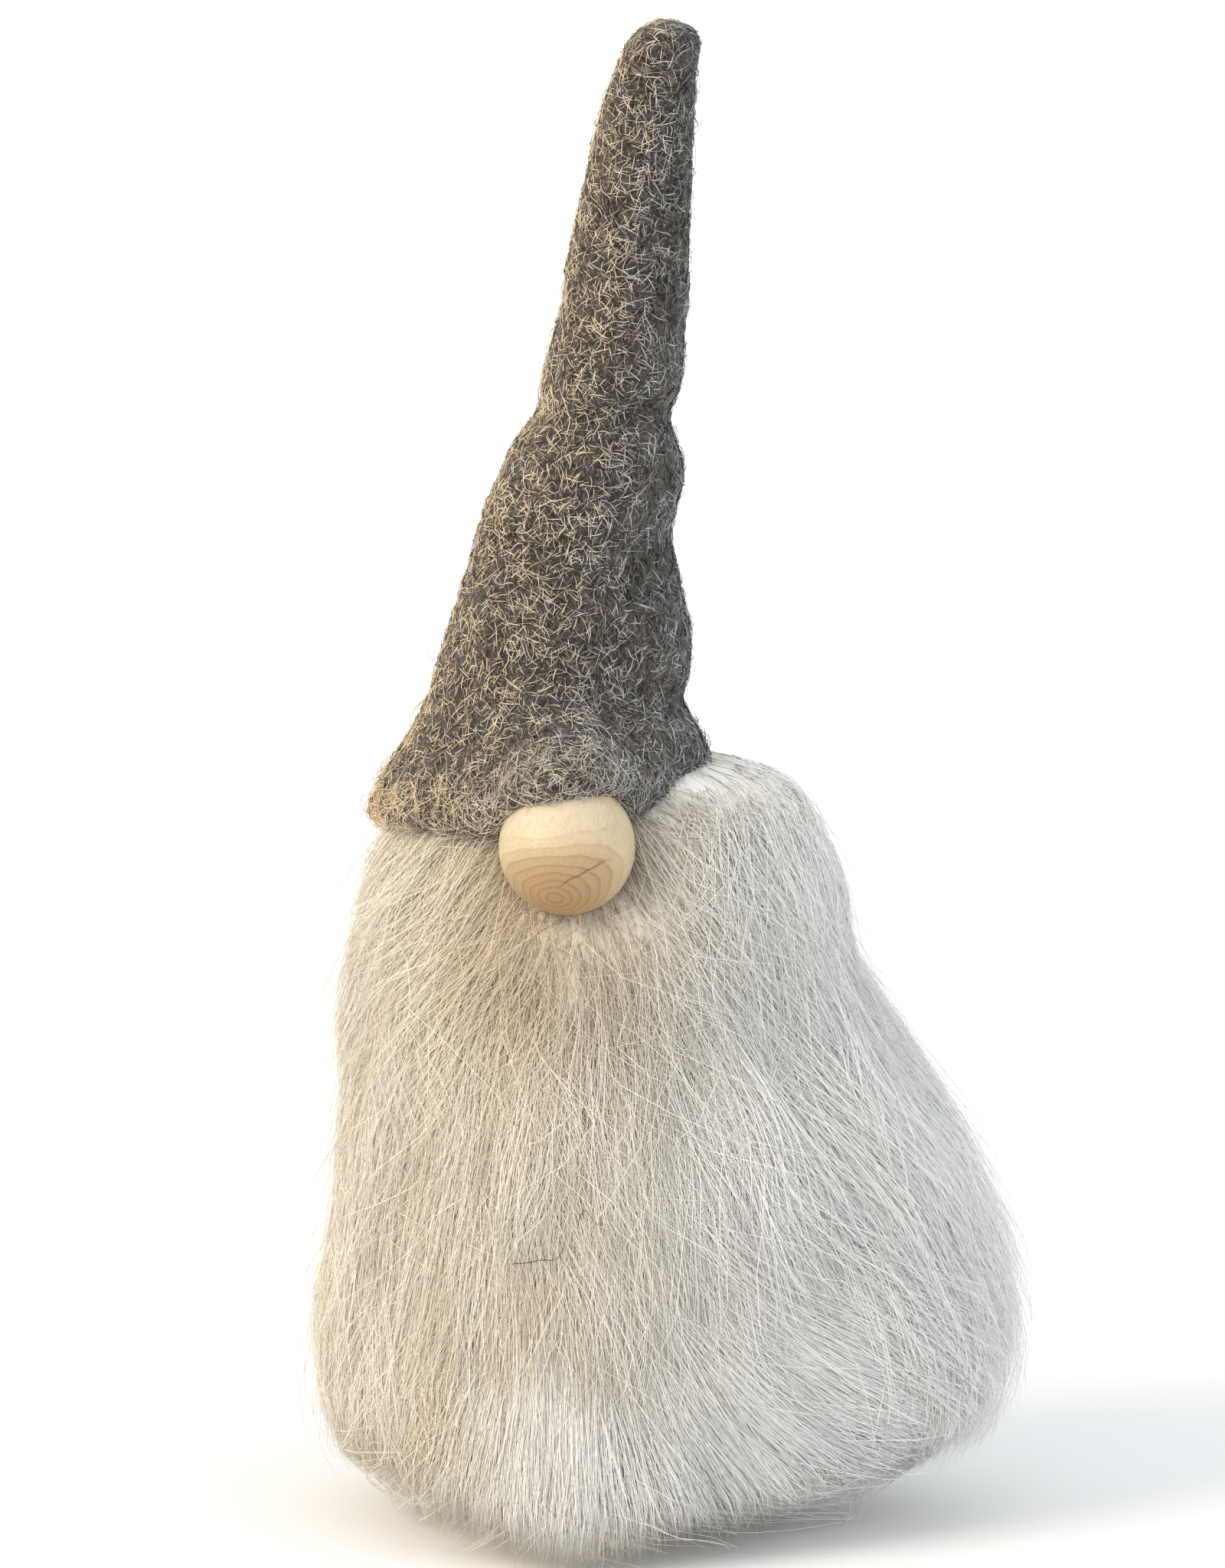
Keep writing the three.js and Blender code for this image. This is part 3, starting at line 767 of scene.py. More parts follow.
def lock_roots(space, coat, rng):
    """Where each lock of a coat starts, how long it is, how it is swept and how deep it lies."""
    turns = tuple(math.radians(turn) for turn in coat.turns)
    heights = tuple(height * MM for height in coat.heights)
    angle, height = spread_roots(space, coat.locks, turns, heights, rng)
    length = rng.uniform(coat.length[0] * MM, coat.length[1] * MM, coat.locks)
    roots = space.place(angle, height, np.ones(coat.locks))
    swirl = wavy(roots, 26 * MM, 21) * 28 * MM + wavy(roots, 10 * MM, 22) * 10 * MM
    sweep = part_round_nose(angle, height, space) + flow(angle, height) + swirl
    sweep = sweep + rng.normal(0, 1.3 * MM + coat.slant * MM, coat.locks)
    deepest, proudest = coat.below[0] * MM, coat.below[1] * MM
    proud = 0.5 + 0.8 * wavy(roots, 7 * MM, 23) + rng.normal(0, 0.16, coat.locks)
    return angle, height, length, sweep, deepest + (proudest - deepest) * proud


def sway_of(lock, phase, swing, s):
    """The slow bend that a lock's strands share, nothing at the root."""
    start = phase[lock][:, None]
    return swing[lock][:, None] * (np.sin(start + 5.0 * s) - np.sin(start))


def grow_coat(space, rng, coat):
    """Paths of the strands of one coat, lock by lock, and each strand's lock."""
    angle0, height0, lock_length, sweep, lock_top = lock_roots(space, coat, rng)
    phase = rng.uniform(0, 2 * math.pi, coat.locks)
    swing = rng.normal(0, coat.wave * MM, coat.locks)
    lock = np.repeat(np.arange(coat.locks), coat.per_lock)
    count = len(lock)
    s = np.linspace(0, 1, FUR_POINTS)[None, :]
    aside = rng.normal(0, coat.spread * MM, count)[:, None]
    up = rng.normal(0, coat.spread * MM, count)[:, None]
    length = (lock_length[lock] * rng.uniform(0.7, 1.2, count))[:, None]
    start = np.clip(height0[lock][:, None] + up, space.low + 3 * MM, FUR_TOP - 2 * MM)
    hem = space.hem(angle0[lock])[:, None] + np.abs(rng.normal(0, 4 * MM, count))[:, None]
    length = np.minimum(length, np.maximum(start - hem, 8 * MM))
    lift = coat.rise * MM * np.sin(math.pi * np.minimum(s * 1.5, 1))
    height = start + lift - length * s ** 1.12
    lateral = aside * (1 - coat.clump * s ** 1.4) + sweep[lock][:, None] * s ** 1.3
    lateral = lateral + sway_of(lock, phase, swing, s) * s
    for turns_along, share in TANGLE_WAVES:
        own_phase = rng.uniform(0, 2 * math.pi, (count, 1))
        own_swing = rng.normal(0, coat.tangle * MM * share, (count, 1))
        lateral = lateral + own_swing * (np.sin(own_phase + turns_along * s) - np.sin(own_phase))
        height = height + 0.5 * own_swing * (np.cos(own_phase + turns_along * s) - np.cos(own_phase)) * s
    reach = space.look_up(space.outer, angle0[lock], start[:, 0])[:, None]
    angle = angle0[lock][:, None] + lateral / reach
    top = lock_top[lock][:, None] + rng.normal(0, 0.35 * MM, (count, 1))
    rooted = UNDERCOAT_BELOW + 0.8 * MM
    level = rooted + (top - rooted) * (1 - (1 - s) ** 2.0)
    weave = rng.normal(0, 0.2 * MM, (count, 1))
    level = level + weave * np.sin(rng.uniform(0, 6.28, (count, 1)) + 6 * s) * s
    level = level - coat.fly * MM * rng.random((count, 1)) ** 2 * s ** 2
    loose_hem = rng.uniform(0, 5 * MM, (count, 1)) * smoothstep(22 * MM, 4 * MM, height)
    paths = space.place_below(angle, height, level - loose_hem)
    paths[..., 2] = np.maximum(paths[..., 2], 0.4 * MM)
    return paths, lock


def clear_of_nose(paths):
    """Pushes strands out of the ball, and says which ones still hang in front of it."""
    nose, radius = nose_ball()
    gap = paths - nose
    away = np.linalg.norm(gap, axis=-1, keepdims=True)
    gap = gap * np.maximum(1, (radius + 0.5 * MM) / away)
    beside = np.hypot(gap[..., 0], gap[..., 2])
    in_front = (beside < radius - 1.2 * MM) & (gap[..., 1] < -0.25 * radius)
    return nose + gap, ~in_front.any(axis=1)


def fur_palette(paths, lock, rng, coat):
    """Palette places: warmer to the left and lighter to the right as painted light from the lamps, lighter
    at the tips, lighter at the hem as painted light where it lies in shadow, and darker under the hat,
    under the nose, down the middle and in the gaps as painted shade."""
    count, points, _ = paths.shape
    low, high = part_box("body_fur_wrap")
    x, y, z = np.moveaxis(paths, -1, 0)
    across = (x - low.x) / (high.x - low.x)
    # painted light: the key lamp's warm tint on the left, the fill's cool tint on the right
    warmth = 1 - smoothstep(*PAINTED_TINT_SPAN, across) + rng.normal(0, 0.08, (count, 1)) - coat.cool
    lock_tone = rng.normal(0, coat.contrast * 1.6, lock.max() + 1)[lock][:, None]
    own_tone = rng.normal(0, coat.contrast, (count, 1))
    s = np.linspace(0, 1, points)[None, :]
    tone = coat.tone + lock_tone + own_tone + 0.06 * (s - 0.45)
    # painted light: lighter towards the right
    tone = tone + 0.22 * smoothstep(*PAINTED_LIGHT_SPAN, across)
    # painted shade under the hat's brim, and painted light at the hem, which lies in shadow by the floor
    tone = tone - 0.12 * smoothstep(122 * MM, 138 * MM, z) + 0.16 * smoothstep(16 * MM, 4 * MM, z)
    nose, radius = nose_ball()
    beside, under = (x - nose[0]) / (22 * MM), (z - nose[2] + radius + 4 * MM) / (22 * MM)
    # painted shade under the nose, in the gaps beside the long lock and down the middle, on the front only
    shade = 0.62 * np.exp(-beside ** 2 - under ** 2)
    for gap_x, gap_z in SHADED_GAPS:
        shade = shade + 0.65 * np.exp(-((x / MM - gap_x) / 6) ** 2 - ((z / MM - gap_z) / 11) ** 2)
    shade = shade + 0.14 * np.exp(-((x + 2 * MM) / (20 * MM)) ** 2)
    tone = tone - shade * (y < 0) + 0.12 * wavy(paths[:, points // 2], 14 * MM, 24)[:, None]
    return np.clip(np.stack([warmth, tone], axis=-1), 0.01, 0.99)


def undercoat(space, name, material, rows=120, columns=200):
    """The dense pile under the long strands, as one closed skin."""
    height = np.linspace(9 * MM, FUR_TOP - 5 * MM, rows)
    grid_angle, grid_height = np.meshgrid(all_round(columns), height)
    below = UNDERCOAT_BELOW + 8 * MM * smoothstep(24 * MM, 9 * MM, grid_height)
    below = below + 1.6 * MM * smoothstep(122 * MM, 138 * MM, grid_height)
    skin = space.place_below(grid_angle, grid_height, below)
    flat = skin.reshape(-1, 3)
    streak = wavy(flat * np.array([1, 1, 0.22]), 2.6 * MM, 1)
    lump = wavy(flat * np.array([1, 1, 0.35]), 8 * MM, 2)
    outward = unit(flat * np.array([1, 1, 0]))
    flat = flat + outward * (streak * 0.25 + lump * 0.4)[:, None] * MM
    low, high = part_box("body_fur_wrap")
    across = (flat[:, 0] - low.x) / (high.x - low.x)
    # painted light: lighter towards the right, and warm on the left turning cool on the right
    tone = 0.56 + 0.10 * streak + 0.08 * lump + 0.16 * smoothstep(*PAINTED_LIGHT_SPAN, across)
    uv = np.clip(np.stack([1 - smoothstep(*PAINTED_TINT_SPAN, across), tone], axis=-1), 0.01, 0.99)
    faces = quads_between(rows, columns)
    faces.append(tuple(range(columns))[::-1])
    faces.append(tuple(range((rows - 1) * columns, rows * columns)))
    return mesh_object(name, flat, faces, material, uv)


def make_stray_hairs(space):
    """Loose brown hairs caught on the front of the fur."""
    rng = np.random.default_rng(SEED + 4)
    brown = cord_material("brown_hair", (0.16, 0.09, 0.05), (0.07, 0.04, 0.02))
    paths = []
    for hair in STRAY_HAIRS:
        points = np.array(hair) * MM
        steps = np.linspace(0, len(points) - 1, FUR_POINTS * 2)
        x = np.interp(steps, np.arange(len(points)), points[:, 0])
        height = np.interp(steps, np.arange(len(points)), points[:, 1])
        angle = np.full_like(x, -math.pi / 2)
        for _ in range(20):
            here = space.place_below(angle, height, -1.4 * MM)
            angle = angle + (x - here[:, 0]) / np.maximum(-here[:, 1], 10 * MM)
        paths.append(space.place_below(angle, height, -1.4 * MM))
    paths = np.array(paths)
    palette = np.full(paths.shape[:2] + (2,), 0.5)
    hairs = strand_object("stray_hairs", paths, np.full(len(paths), 0.09 * MM), palette, brown, rng)
    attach(hairs, BODY)
    return hairs


def split_by_angle(paths, edges):
    """Sorts strands into sectors by the angle of their middle point."""
    middle = paths[:, FUR_POINTS // 2]
    angle = np.arctan2(middle[:, 1], middle[:, 0])
    return [np.nonzero((angle >= a) & (angle < b))[0] for a, b in zip(edges[:-1], edges[1:])]


def make_coats(space, rng, material):
    """Every coat's strands, in pieces by angle, listed under the slot name of their coat."""
    piles = {"body_fur": [], "beard_fur": []}
    for coat in COATS:
        paths, lock = grow_coat(space, rng, coat)
        paths, keep = clear_of_nose(paths)
        paths, lock = paths[keep], lock[keep]
        palette = fur_palette(paths, lock, rng, coat)
        radius = rng.uniform(*STRAND_RADIUS, len(paths))
        for number, chosen in enumerate(split_by_angle(paths, coat.edges)):
            if not len(chosen):
                continue
            name = f"{coat.name}_strands_{number + 1}"
            piece = strand_object(name, paths[chosen], radius[chosen], palette[chosen], material, rng)
            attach(piece, BODY)
            piles[coat.slot].append(piece)
    return piles


def make_backings(space):
    """The knitted cloths that the fur grows on, and the threads that hold them."""
    knit = cloth_material("knit", (0.80, 0.78, 0.72), (0.55, 0.53, 0.48), 500)
    low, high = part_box("body_fur_wrap")
    backing_cloth(
        space, "fur_wrap_cloth", None, (low.z + 5 * MM, high.z - 4 * MM), 0.12, knit, ["body_fur_wrap"])
    low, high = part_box("beard_fur")
    beard_turns = tuple(math.radians(turn) for turn in BEARD_TURNS)
    backing_cloth(
        space, "beard_cloth", beard_turns, (low.z + 25 * MM, high.z - 6 * MM), 0.45, knit, ["beard_fur"])
    pale = cord_material("pale_thread", (0.82, 0.79, 0.72), (0.60, 0.57, 0.50))
    turns = np.linspace(*beard_turns, 22)
    row = space.place(turns, np.full_like(turns, high.z - 7 * MM), np.full_like(turns, 0.5))
    thread_run("beard_stitches", row, 0.4 * MM, pale, ["beard_stitching"])
    heights = np.arange(low.z, high.z, 4 * MM)
    back = space.place(np.full_like(heights, math.pi / 2), heights, np.full_like(heights, 0.2))
    thread_run("wrap_stitches", back, 0.4 * MM, pale, ["fur_wrap_seam"])


def make_fur():
    space = FurSpace()
    body = strand_material(
        "body_fur",
        [(0.0, (0.72, 0.59, 0.42)), (0.5, (0.92, 0.83, 0.67)), (1.0, (0.98, 0.94, 0.86))],
        [(0.0, (0.68, 0.68, 0.66)), (0.5, (0.90, 0.91, 0.90)), (1.0, (0.98, 0.985, 0.985))],
        0.65,
    )
    under = undercoat(space, "fur_undercoat", body)
    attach(under, BODY)
    piles = make_coats(space, np.random.default_rng(SEED), body)
    piles["body_fur"] = [under] + piles["body_fur"] + [make_stray_hairs(space)]
    make_backings(space)


# ---------------------------------------------------------------- hat

class HatSkin:
    """The hat's outside, as its distance from its own leaning middle line at an angle and a height."""

    def __init__(self):
        trees = [tree_of(node) for node in HAT_NODES]
        self.low, self.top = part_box("hat_lower")[0].z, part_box("hat_upper")[1].z
        self.rows = np.arange(self.low + 0.5 * MM, self.top, HAT_GRID_STEP)
        self.turns = all_round(144)
        middle, reach = [], []
        for z in self.rows[::-1]:
            left = reach_to(trees, Vector((TIP_X * z / self.top, 0, z)), math.pi)
            right = reach_to(trees, Vector((TIP_X * z / self.top, 0, z)), 0)
            x = TIP_X * z / self.top + (right - left) / 2
            found = [reach_to(trees, Vector((x, 0, z)), a) for a in self.turns]
            above = reach[-1] if reach else [0] * len(found)
            reach.append([f if f > 0.6 * r else r for f, r in zip(found, above)])
            middle.append(x)
        self.reach = np.sqrt(smooth_rows(np.array(reach[::-1]) ** 2, 3))
        self.middles = evened(np.array(middle[::-1]), 6, "edge")
        self.nose, self.nose_radius = nose_ball()
        self.nose_turn = math.degrees(math.atan2(self.nose[1], self.nose[0] - self.middles[6]))
        self.edge_heights = self.find_edge()

    def find_edge(self):
        """Height of the brim's lower edge at each angle: higher at the front and at the right, where
        the fur holds it up, and lifted where it rests on the nose."""
        front = np.clip(-np.sin(self.turns), 0, 1) ** 2
        right = np.clip(np.cos(self.turns), 0, 1) ** 1.2
        level = self.low + (0.5 + 3.6 * front + 7.0 * right) * MM
        radius = self.nose_radius + 0.2 * MM
        reach = self.reach[8] - BRIM_ROLL * 0.5 + self.over_nose(self.turns) * NOSE_PUSH
        across = self.middles[8] + reach * np.cos(self.turns) - self.nose[0]
        ahead = reach * np.sin(self.turns) - (self.nose[1] - self.nose_radius + radius)
        over = np.sqrt(np.clip(radius ** 2 - across ** 2 - ahead ** 2, 0, None))
        on_nose = np.where(over > 0, self.nose[2] + over - 0.9 * MM, level)
        heights = np.interp(EDGE_TURNS, self.turns, np.maximum(level, on_nose), period=2 * math.pi)
        return evened(heights, 12, "wrap")

    def over_nose(self, angle):
        """1 where the brim passes over the ball and 0 well beside it."""
        return np.exp(-np.abs((np.degrees(angle) - self.nose_turn) / 21) ** 2.6)

    def edge(self, angle):
        return np.interp(angle, EDGE_TURNS, self.edge_heights, period=2 * math.pi)

    def middle(self, height):
        return np.interp(height, self.rows, self.middles)

    def outer(self, angle, height):
        """Distance to the outside, with the dents, folds and rolled brim of worn felt."""
        turn = self.turns[1] - self.turns[0]
        row, column = (height - self.rows[0]) / HAT_GRID_STEP, (angle - self.turns[0]) / turn
        reach = between(self.reach, row, column)
        under_tip = self.top - height
        reach = reach + 1.3 * MM * np.exp(-((under_tip - 3 * MM) / (4.5 * MM)) ** 2)
        reach = reach * np.sqrt(1 - (1 - np.clip(under_tip / (2.2 * MM), 0, 1)) ** 2)
        for turn, z, depth, width, tall in HAT_DENTS:
            away = (np.degrees(angle) - turn + 180) % 360 - 180
            reach = reach - depth * MM * np.exp(-(away / width) ** 2 - ((height / MM - z) / tall) ** 2)
        above = (height - self.edge(angle)) / MM
        reach = reach + 1.9 * MM * np.clip(-np.cos(angle), 0, 1) ** 2 * smoothstep(5, 0.5, above)
        beside = np.exp(-((np.degrees(angle) - self.nose_turn) / 42) ** 2)
        reach = reach + self.over_nose(angle) * NOSE_PUSH * smoothstep(16, 1, above)
        reach = reach + beside * 0.9 * MM * np.exp(-((above - 5) / 3.0) ** 2)
        reach = reach - beside * 1.3 * MM * np.exp(-((above - 13) / 3.5) ** 2)
        return reach

    def rings(self, columns=220):
        """Rings of points from the top of the hollow, down inside, under the brim and up to the tip."""
        angle = all_round(columns)
        edge = self.edge(angle)
        rings = []
        for t in np.linspace(0, 1, INSIDE_RINGS):
            height = (self.top - 8 * MM) * (1 - t) + (edge + BRIM_ROLL) * t
            thickness = FELT + (2 * BRIM_ROLL - FELT) * smoothstep(14 * MM, 2 * MM, height - edge)
            reach = np.maximum(self.outer(angle, height) - thickness, 0.5 * MM)
            rings.append(self.at(angle, height, reach))
        for turn in np.linspace(math.pi, 0, ROLL_RINGS + 2)[1:-1]:
            height = edge + BRIM_ROLL * (1 - math.sin(turn))
            reach = self.outer(angle, edge + BRIM_ROLL) - BRIM_ROLL * (1 - math.cos(turn))
            rings.append(self.at(angle, height, reach))
        for t in np.linspace(0, 1, OUTSIDE_RINGS):
            share = 1 - (1 - t) ** 1.25
            height = (edge + BRIM_ROLL) * (1 - share) + (self.top - 0.05 * MM) * share
            rings.append(self.at(angle, height, self.outer(angle, height)))
        return np.array(rings)

    def at(self, angle, height, reach):
        x = self.middle(height) + reach * np.cos(angle)
        return np.stack([x, reach * np.sin(angle), height + 0 * angle], axis=-1)

    def turn_of(self, places):
        return np.arctan2(places[:, 1], places[:, 0] - self.middle(places[:, 2]))

    def shown(self, places):
        """1 for places on the hat's outside or on its brim, and 0 for places in its hollow."""
        turn = self.turn_of(places)
        reach = np.hypot(places[:, 0] - self.middle(places[:, 2]), places[:, 1])
        outside = reach > self.outer(turn, places[:, 2]) - 1.6 * MM
        return (outside | (places[:, 2] < self.edge(turn) + 1.5 * MM)).astype(float)

    def on_brim(self, places):
        return self.shown(places) * (places[:, 2] < self.edge(self.turn_of(places)) + 9 * MM)


def unrolled(rings, apex):
    """A cone's pattern laid flat: one more column than the rings, with its two sides at the left."""
    rows, columns, _ = rings.shape
    slant = np.linalg.norm(rings.mean(1) - apex, axis=-1)
    walk = np.concatenate([[0], np.cumsum(np.linalg.norm(np.diff(rings.mean(1), axis=0), axis=-1))])
    turn = np.linspace(-0.5, 0.5, columns + 1) * FELT_FAN
    inside = np.arange(rows) < 45
    reach = np.where(inside, 0.02 + 0.16 * walk / walk[44], slant / FELT_PATTERN)[:, None]
    centre = np.where(inside, 0.80, 0.0)[:, None]
    u = 0.5 + np.where(inside[:, None], turn / FELT_FAN * 0.9, reach * np.sin(turn))
    v = centre + np.where(inside[:, None], reach, 0.78 - reach * np.cos(turn))
    return np.stack([u, v], axis=-1)


def lay_on(tree, starts, headings, length, lift, points):
    """Paths that crawl over a surface from their starts, each point lifted off it by a given height."""
    paths = np.zeros((len(starts), points, 3))
    for i, (start, heading) in enumerate(zip(starts, headings)):
        here, going = Vector(start), Vector(heading)
        for k in range(points):
            near, normal, _, _ = tree.find_nearest(here)
            going = (going - normal * going.dot(normal)).normalized()
            paths[i, k] = near + normal * lift[i, k]
            here = near + going * (length[i] / (points - 1))
    return paths


def scatter_on(obj, count, rng, keep):
    """Points spread evenly over the faces of a mesh that pass a test of their centres."""
    mesh = obj.data
    centres = np.zeros(len(mesh.polygons) * 3)
    areas = np.zeros(len(mesh.polygons))
    mesh.polygons.foreach_get("center", centres)
    mesh.polygons.foreach_get("area", areas)
    centres = centres.reshape(-1, 3)
    areas = areas * keep(centres)
    chosen = rng.choice(len(areas), count, p=areas / areas.sum())
    return centres[chosen] + rng.normal(0, 0.3 * MM, (count, 3))


def hat_fibres(fuzz, skin, tree, hat, rng, material):
    """One set of loose wool fibres on the felt, most of them flat on it."""
    count = fuzz.count
    starts = scatter_on(hat, count, rng, skin.on_brim if fuzz.brim_only else skin.shown)
    headings = unit(rng.normal(size=(count, 3)))
    lengths = rng.uniform(fuzz.length[0] * MM, fuzz.length[1] * MM, count)
    s = np.linspace(0, 1, FIBRE_POINTS)[None, :]
    base = rng.uniform(0.02, 0.16, (count, 1)) * MM
    high = rng.uniform(fuzz.lift[0] * MM, fuzz.lift[1] * MM, count)[:, None]
    paths = lay_on(tree, starts, headings, lengths, base + high * s ** 1.6, FIBRE_POINTS)
    bend = rng.normal(0, 1, (count, 1, 3)) * fuzz.curl * MM
    paths = paths + bend * (np.sin(math.pi * s) * (high / MM).clip(0.15, 2))[..., None]
    away = paths[..., 0] - skin.middle(paths[..., 2])
    side = away / np.maximum(np.hypot(away, paths[..., 1]), 1 * MM)
    # painted light: warmer on the left, the key lamp's warm tint
    warmth = np.clip(0.45 - 0.55 * side + rng.normal(0, 0.16, (count, 1)), 0.02, 0.98)
    patches = 0.30 * wavy(paths[:, 2], 6 * MM, 25) + 0.22 * wavy(paths[:, 2], 2.4 * MM, 26)
    light = rng.choice(fuzz.tones, count) + rng.normal(0, 0.08, count) + patches
    # painted shade: darker towards the right
    light = light - 0.30 * np.clip(side[:, 2], -0.2, 1)
    light = np.clip(light[:, None] + 0 * s, 0.02, 0.98)
    palette = np.stack([warmth, light], axis=-1)
    radius = rng.uniform(fuzz.radius[0] * MM, fuzz.radius[1] * MM, count)
    piece = strand_object(fuzz.name, paths, radius, palette, material, rng)
    hat_piece(piece)
    return piece


def hat_piece(piece):
    """A piece of the hat, with its placement moved into its points."""
    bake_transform(piece)


def felt_lumps(skin, outside):
    """The felt's outside with soft lumps, in and out from its middle line."""
    lumps = wavy(outside, 11 * MM, 3) * 0.55 + wavy(outside, 4.5 * MM, 4) * 0.22
    lumps = lumps + wavy(outside, 1.6 * MM, 5) * 0.16
    axis = np.stack([skin.middle(outside[..., 2]), 0 * outside[..., 1], outside[..., 2]], axis=-1)
    return outside + unit(outside - axis) * lumps[..., None] * MM


def make_hat():
    rng = np.random.default_rng(SEED + 1)
    skin = HatSkin()
    rings = skin.rings()
    first = INSIDE_RINGS + ROLL_RINGS
    rings[first:] = felt_lumps(skin, rings[first:])
    pattern = unrolled(rings, np.array([TIP_X, 0, skin.top]))
    hat = skin_object("hat_felt_skin", rings, pattern, felt_material())
    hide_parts(*HAT_NODES)
    hat_piece(hat)
    wool = strand_material(
        "hat_wool",
        [(0.0, (0.014, 0.008, 0.005)), (0.5, (0.19, 0.12, 0.065)), (1.0, (1.0, 0.80, 0.52))],
        [(0.0, (0.008, 0.008, 0.009)), (0.5, (0.10, 0.105, 0.11)), (1.0, (0.72, 0.75, 0.78))],
        0.75,
    )
    tree = surface_tree(hat.data)
    fibres = [hat_fibres(fuzz, skin, tree, hat, rng, wool) for fuzz in HAT_FUZZ]
    make_hat_seam(skin)
    make_hat_wadding(skin)
    make_hat_wire()


def make_hat_seam(skin):
    """Whip stitches down the back seam."""
    rng = np.random.default_rng(SEED + 2)
    thread = cord_material("dark_thread", (0.10, 0.085, 0.07), (0.03, 0.026, 0.022))
    back = math.pi / 2
    low = skin.edge(back) + 4 * MM
    heights = np.arange(low, skin.top - 9 * MM, 3.2 * MM)
    paths = []
    for z in heights:
        half = 1.5 * MM / max(float(skin.outer(np.array(back), np.array(z))), 4 * MM)
        turn = np.linspace(-1, 1, 7) * half + back + rng.normal(0, 0.01)
        height = z + np.linspace(-0.9, 0.9, 7) * MM
        lift = np.array([-0.8, -0.1, 0.3, 0.42, 0.3, -0.1, -0.8]) * MM
        paths.append(skin.at(turn, height, skin.outer(turn, height) + lift))
    paths = np.array(paths)
    palette = np.full(paths.shape[:2] + (2,), 0.5)
    radius = np.full(len(paths), 0.42 * MM)
    stitches = strand_object("hat_seam_stitches", paths, radius, palette, thread, rng)
    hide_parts("hat_seam_lower", "hat_seam_upper")
    hat_piece(stitches)


def make_hat_wadding(skin):
    """The fibre stuffing that fills the hat."""
    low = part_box("hat_stuffing_lower")[0].z
    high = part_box("hat_stuffing_upper")[1].z
    angle = all_round(48)
    rings = []
    for t in np.linspace(0, 1, 60):
        height = np.full_like(angle, low + (high - low) * t)
        end = math.sqrt(max(1 - abs(2 * t - 1) ** 8, 0.02))
        reach = np.maximum(skin.outer(angle, height) - FELT - 1.2 * MM, 0.8 * MM) * end
        rings.append(skin.at(angle, height, reach))
    rings = np.array(rings)
    outward = unit(rings - rings.mean(1, keepdims=True))
    rings = rings + outward * wavy(rings, 3.5 * MM, 6)[..., None] * 0.6 * MM
    wadding = fluffy_material("stuffing", (0.86, 0.86, 0.84), (0.62, 0.62, 0.60), 260)
    stuffing = skin_object("hat_wadding", rings, plain_map(60, 48), wadding)
    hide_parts("hat_stuffing_lower", "hat_stuffing_upper")
    hat_piece(stuffing)


def make_hat_wire():
    """The soft wire that keeps the tip where it is bent."""
    low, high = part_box("hat_wire")
    radius = 1 * MM
    angle = all_round(12)
    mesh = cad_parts["hat_wire"].data
    heights = np.array([v.co.z for v in mesh.vertices])
    sides = np.array([v.co.x for v in mesh.vertices])
    order = np.argsort(heights)
    rings = []
    for z in np.linspace(low.z, high.z, 70):
        near = np.abs(heights[order] - z)
        weight = np.exp(-(near / (6 * MM)) ** 2) + 1e-9
        x = (sides[order] * weight).sum() / weight.sum()
        rings.append(ring_at(x, radius, angle, z))
    wire = skin_object("hat_bend_wire", np.array(rings), plain_map(70, 12), wire_material())
    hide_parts("hat_wire")
    hat_piece(wire)


# ---------------------------------------------------------------- nose

def make_nose():
    """The wooden ball, a little off round and flat where it is glued."""
    centre, radius = nose_ball()
    turn = all_round(192)
    slopes = np.linspace(-math.pi / 2, math.pi / 2, 130)[1:-1]
    rings = np.array([ring_at(0, math.cos(slope), turn, math.sin(slope)) for slope in slopes]) * radius
    rings = rings * (1 + 0.006 * wavy(rings, 9 * MM, 8) - 0.004 * np.abs(wavy(rings, 3 * MM, 9)))[..., None]
    rings[..., 1] = np.minimum(rings[..., 1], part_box("nose_ball")[1].y - centre[1])
    nose = skin_object("nose_wood_ball", rings, plain_map(len(rings), 192), wood_material(radius))
    nose.location = centre
    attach(nose, BODY)
    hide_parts("nose_ball")


# ---------------------------------------------------------------- inside the body

def lumpy_copy(name, node, material, lump, size, seed, shrink=0.0):
    """A soft piece in the place of its CAD solid, with uneven lumps of a given height and size."""
    tree = tree_of(node)
    low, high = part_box(node)
    angle = all_round(72)
    rings = []
    for z in np.linspace(low.z + 0.3 * MM, high.z - 0.3 * MM, 70):
        sides = [reach_to([tree], Vector((0, 0, z)), turn) for turn in (0, math.pi)]
        x = (sides[0] - sides[1]) / 2
        reach = np.array([reach_to([tree], Vector((x, 0, z)), a) for a in angle])
        reach = np.maximum(reach - shrink, 0.5 * MM)
        rings.append(ring_at(x, reach, angle, z))
    rings = np.array(rings)
    outward = unit(rings - rings.mean(1, keepdims=True))
    rings = rings + outward * (np.abs(wavy(rings, size, seed)) - 0.5)[..., None] * lump
    piece = skin_object(name, rings, plain_map(70, 72), material)
    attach(piece, BODY)
    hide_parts(node)
    return piece


def puff_out(obj, pressure, frames, most):
    """Lets cloth swell under a pressure from inside, no point moving further than a limit."""
    scene = bpy.context.scene
    before = np.zeros(len(obj.data.vertices) * 3, np.float32)
    obj.data.vertices.foreach_get("co", before)
    cloth = obj.modifiers.new("cloth", "CLOTH")
    cloth.settings.use_pressure = True
    cloth.settings.uniform_pressure_force = pressure
    cloth.settings.effector_weights.gravity = 0
    cloth.point_cache.frame_end = frames
    for number in range(1, frames + 1):
        scene.frame_set(number)
    shown = obj.evaluated_get(bpy.context.evaluated_depsgraph_get())
    after = np.zeros_like(before)
    shown.data.vertices.foreach_get("co", after)
    obj.modifiers.remove(cloth)
    scene.frame_set(1)
    move = (after - before).reshape(-1, 3)
    far = np.linalg.norm(move, axis=1, keepdims=True)
    move = move * np.minimum(1, most / np.maximum(far, 1e-9))
    obj.data.vertices.foreach_set("co", (before.reshape(-1, 3) + move).ravel().astype(np.float32))
    obj.data.update()


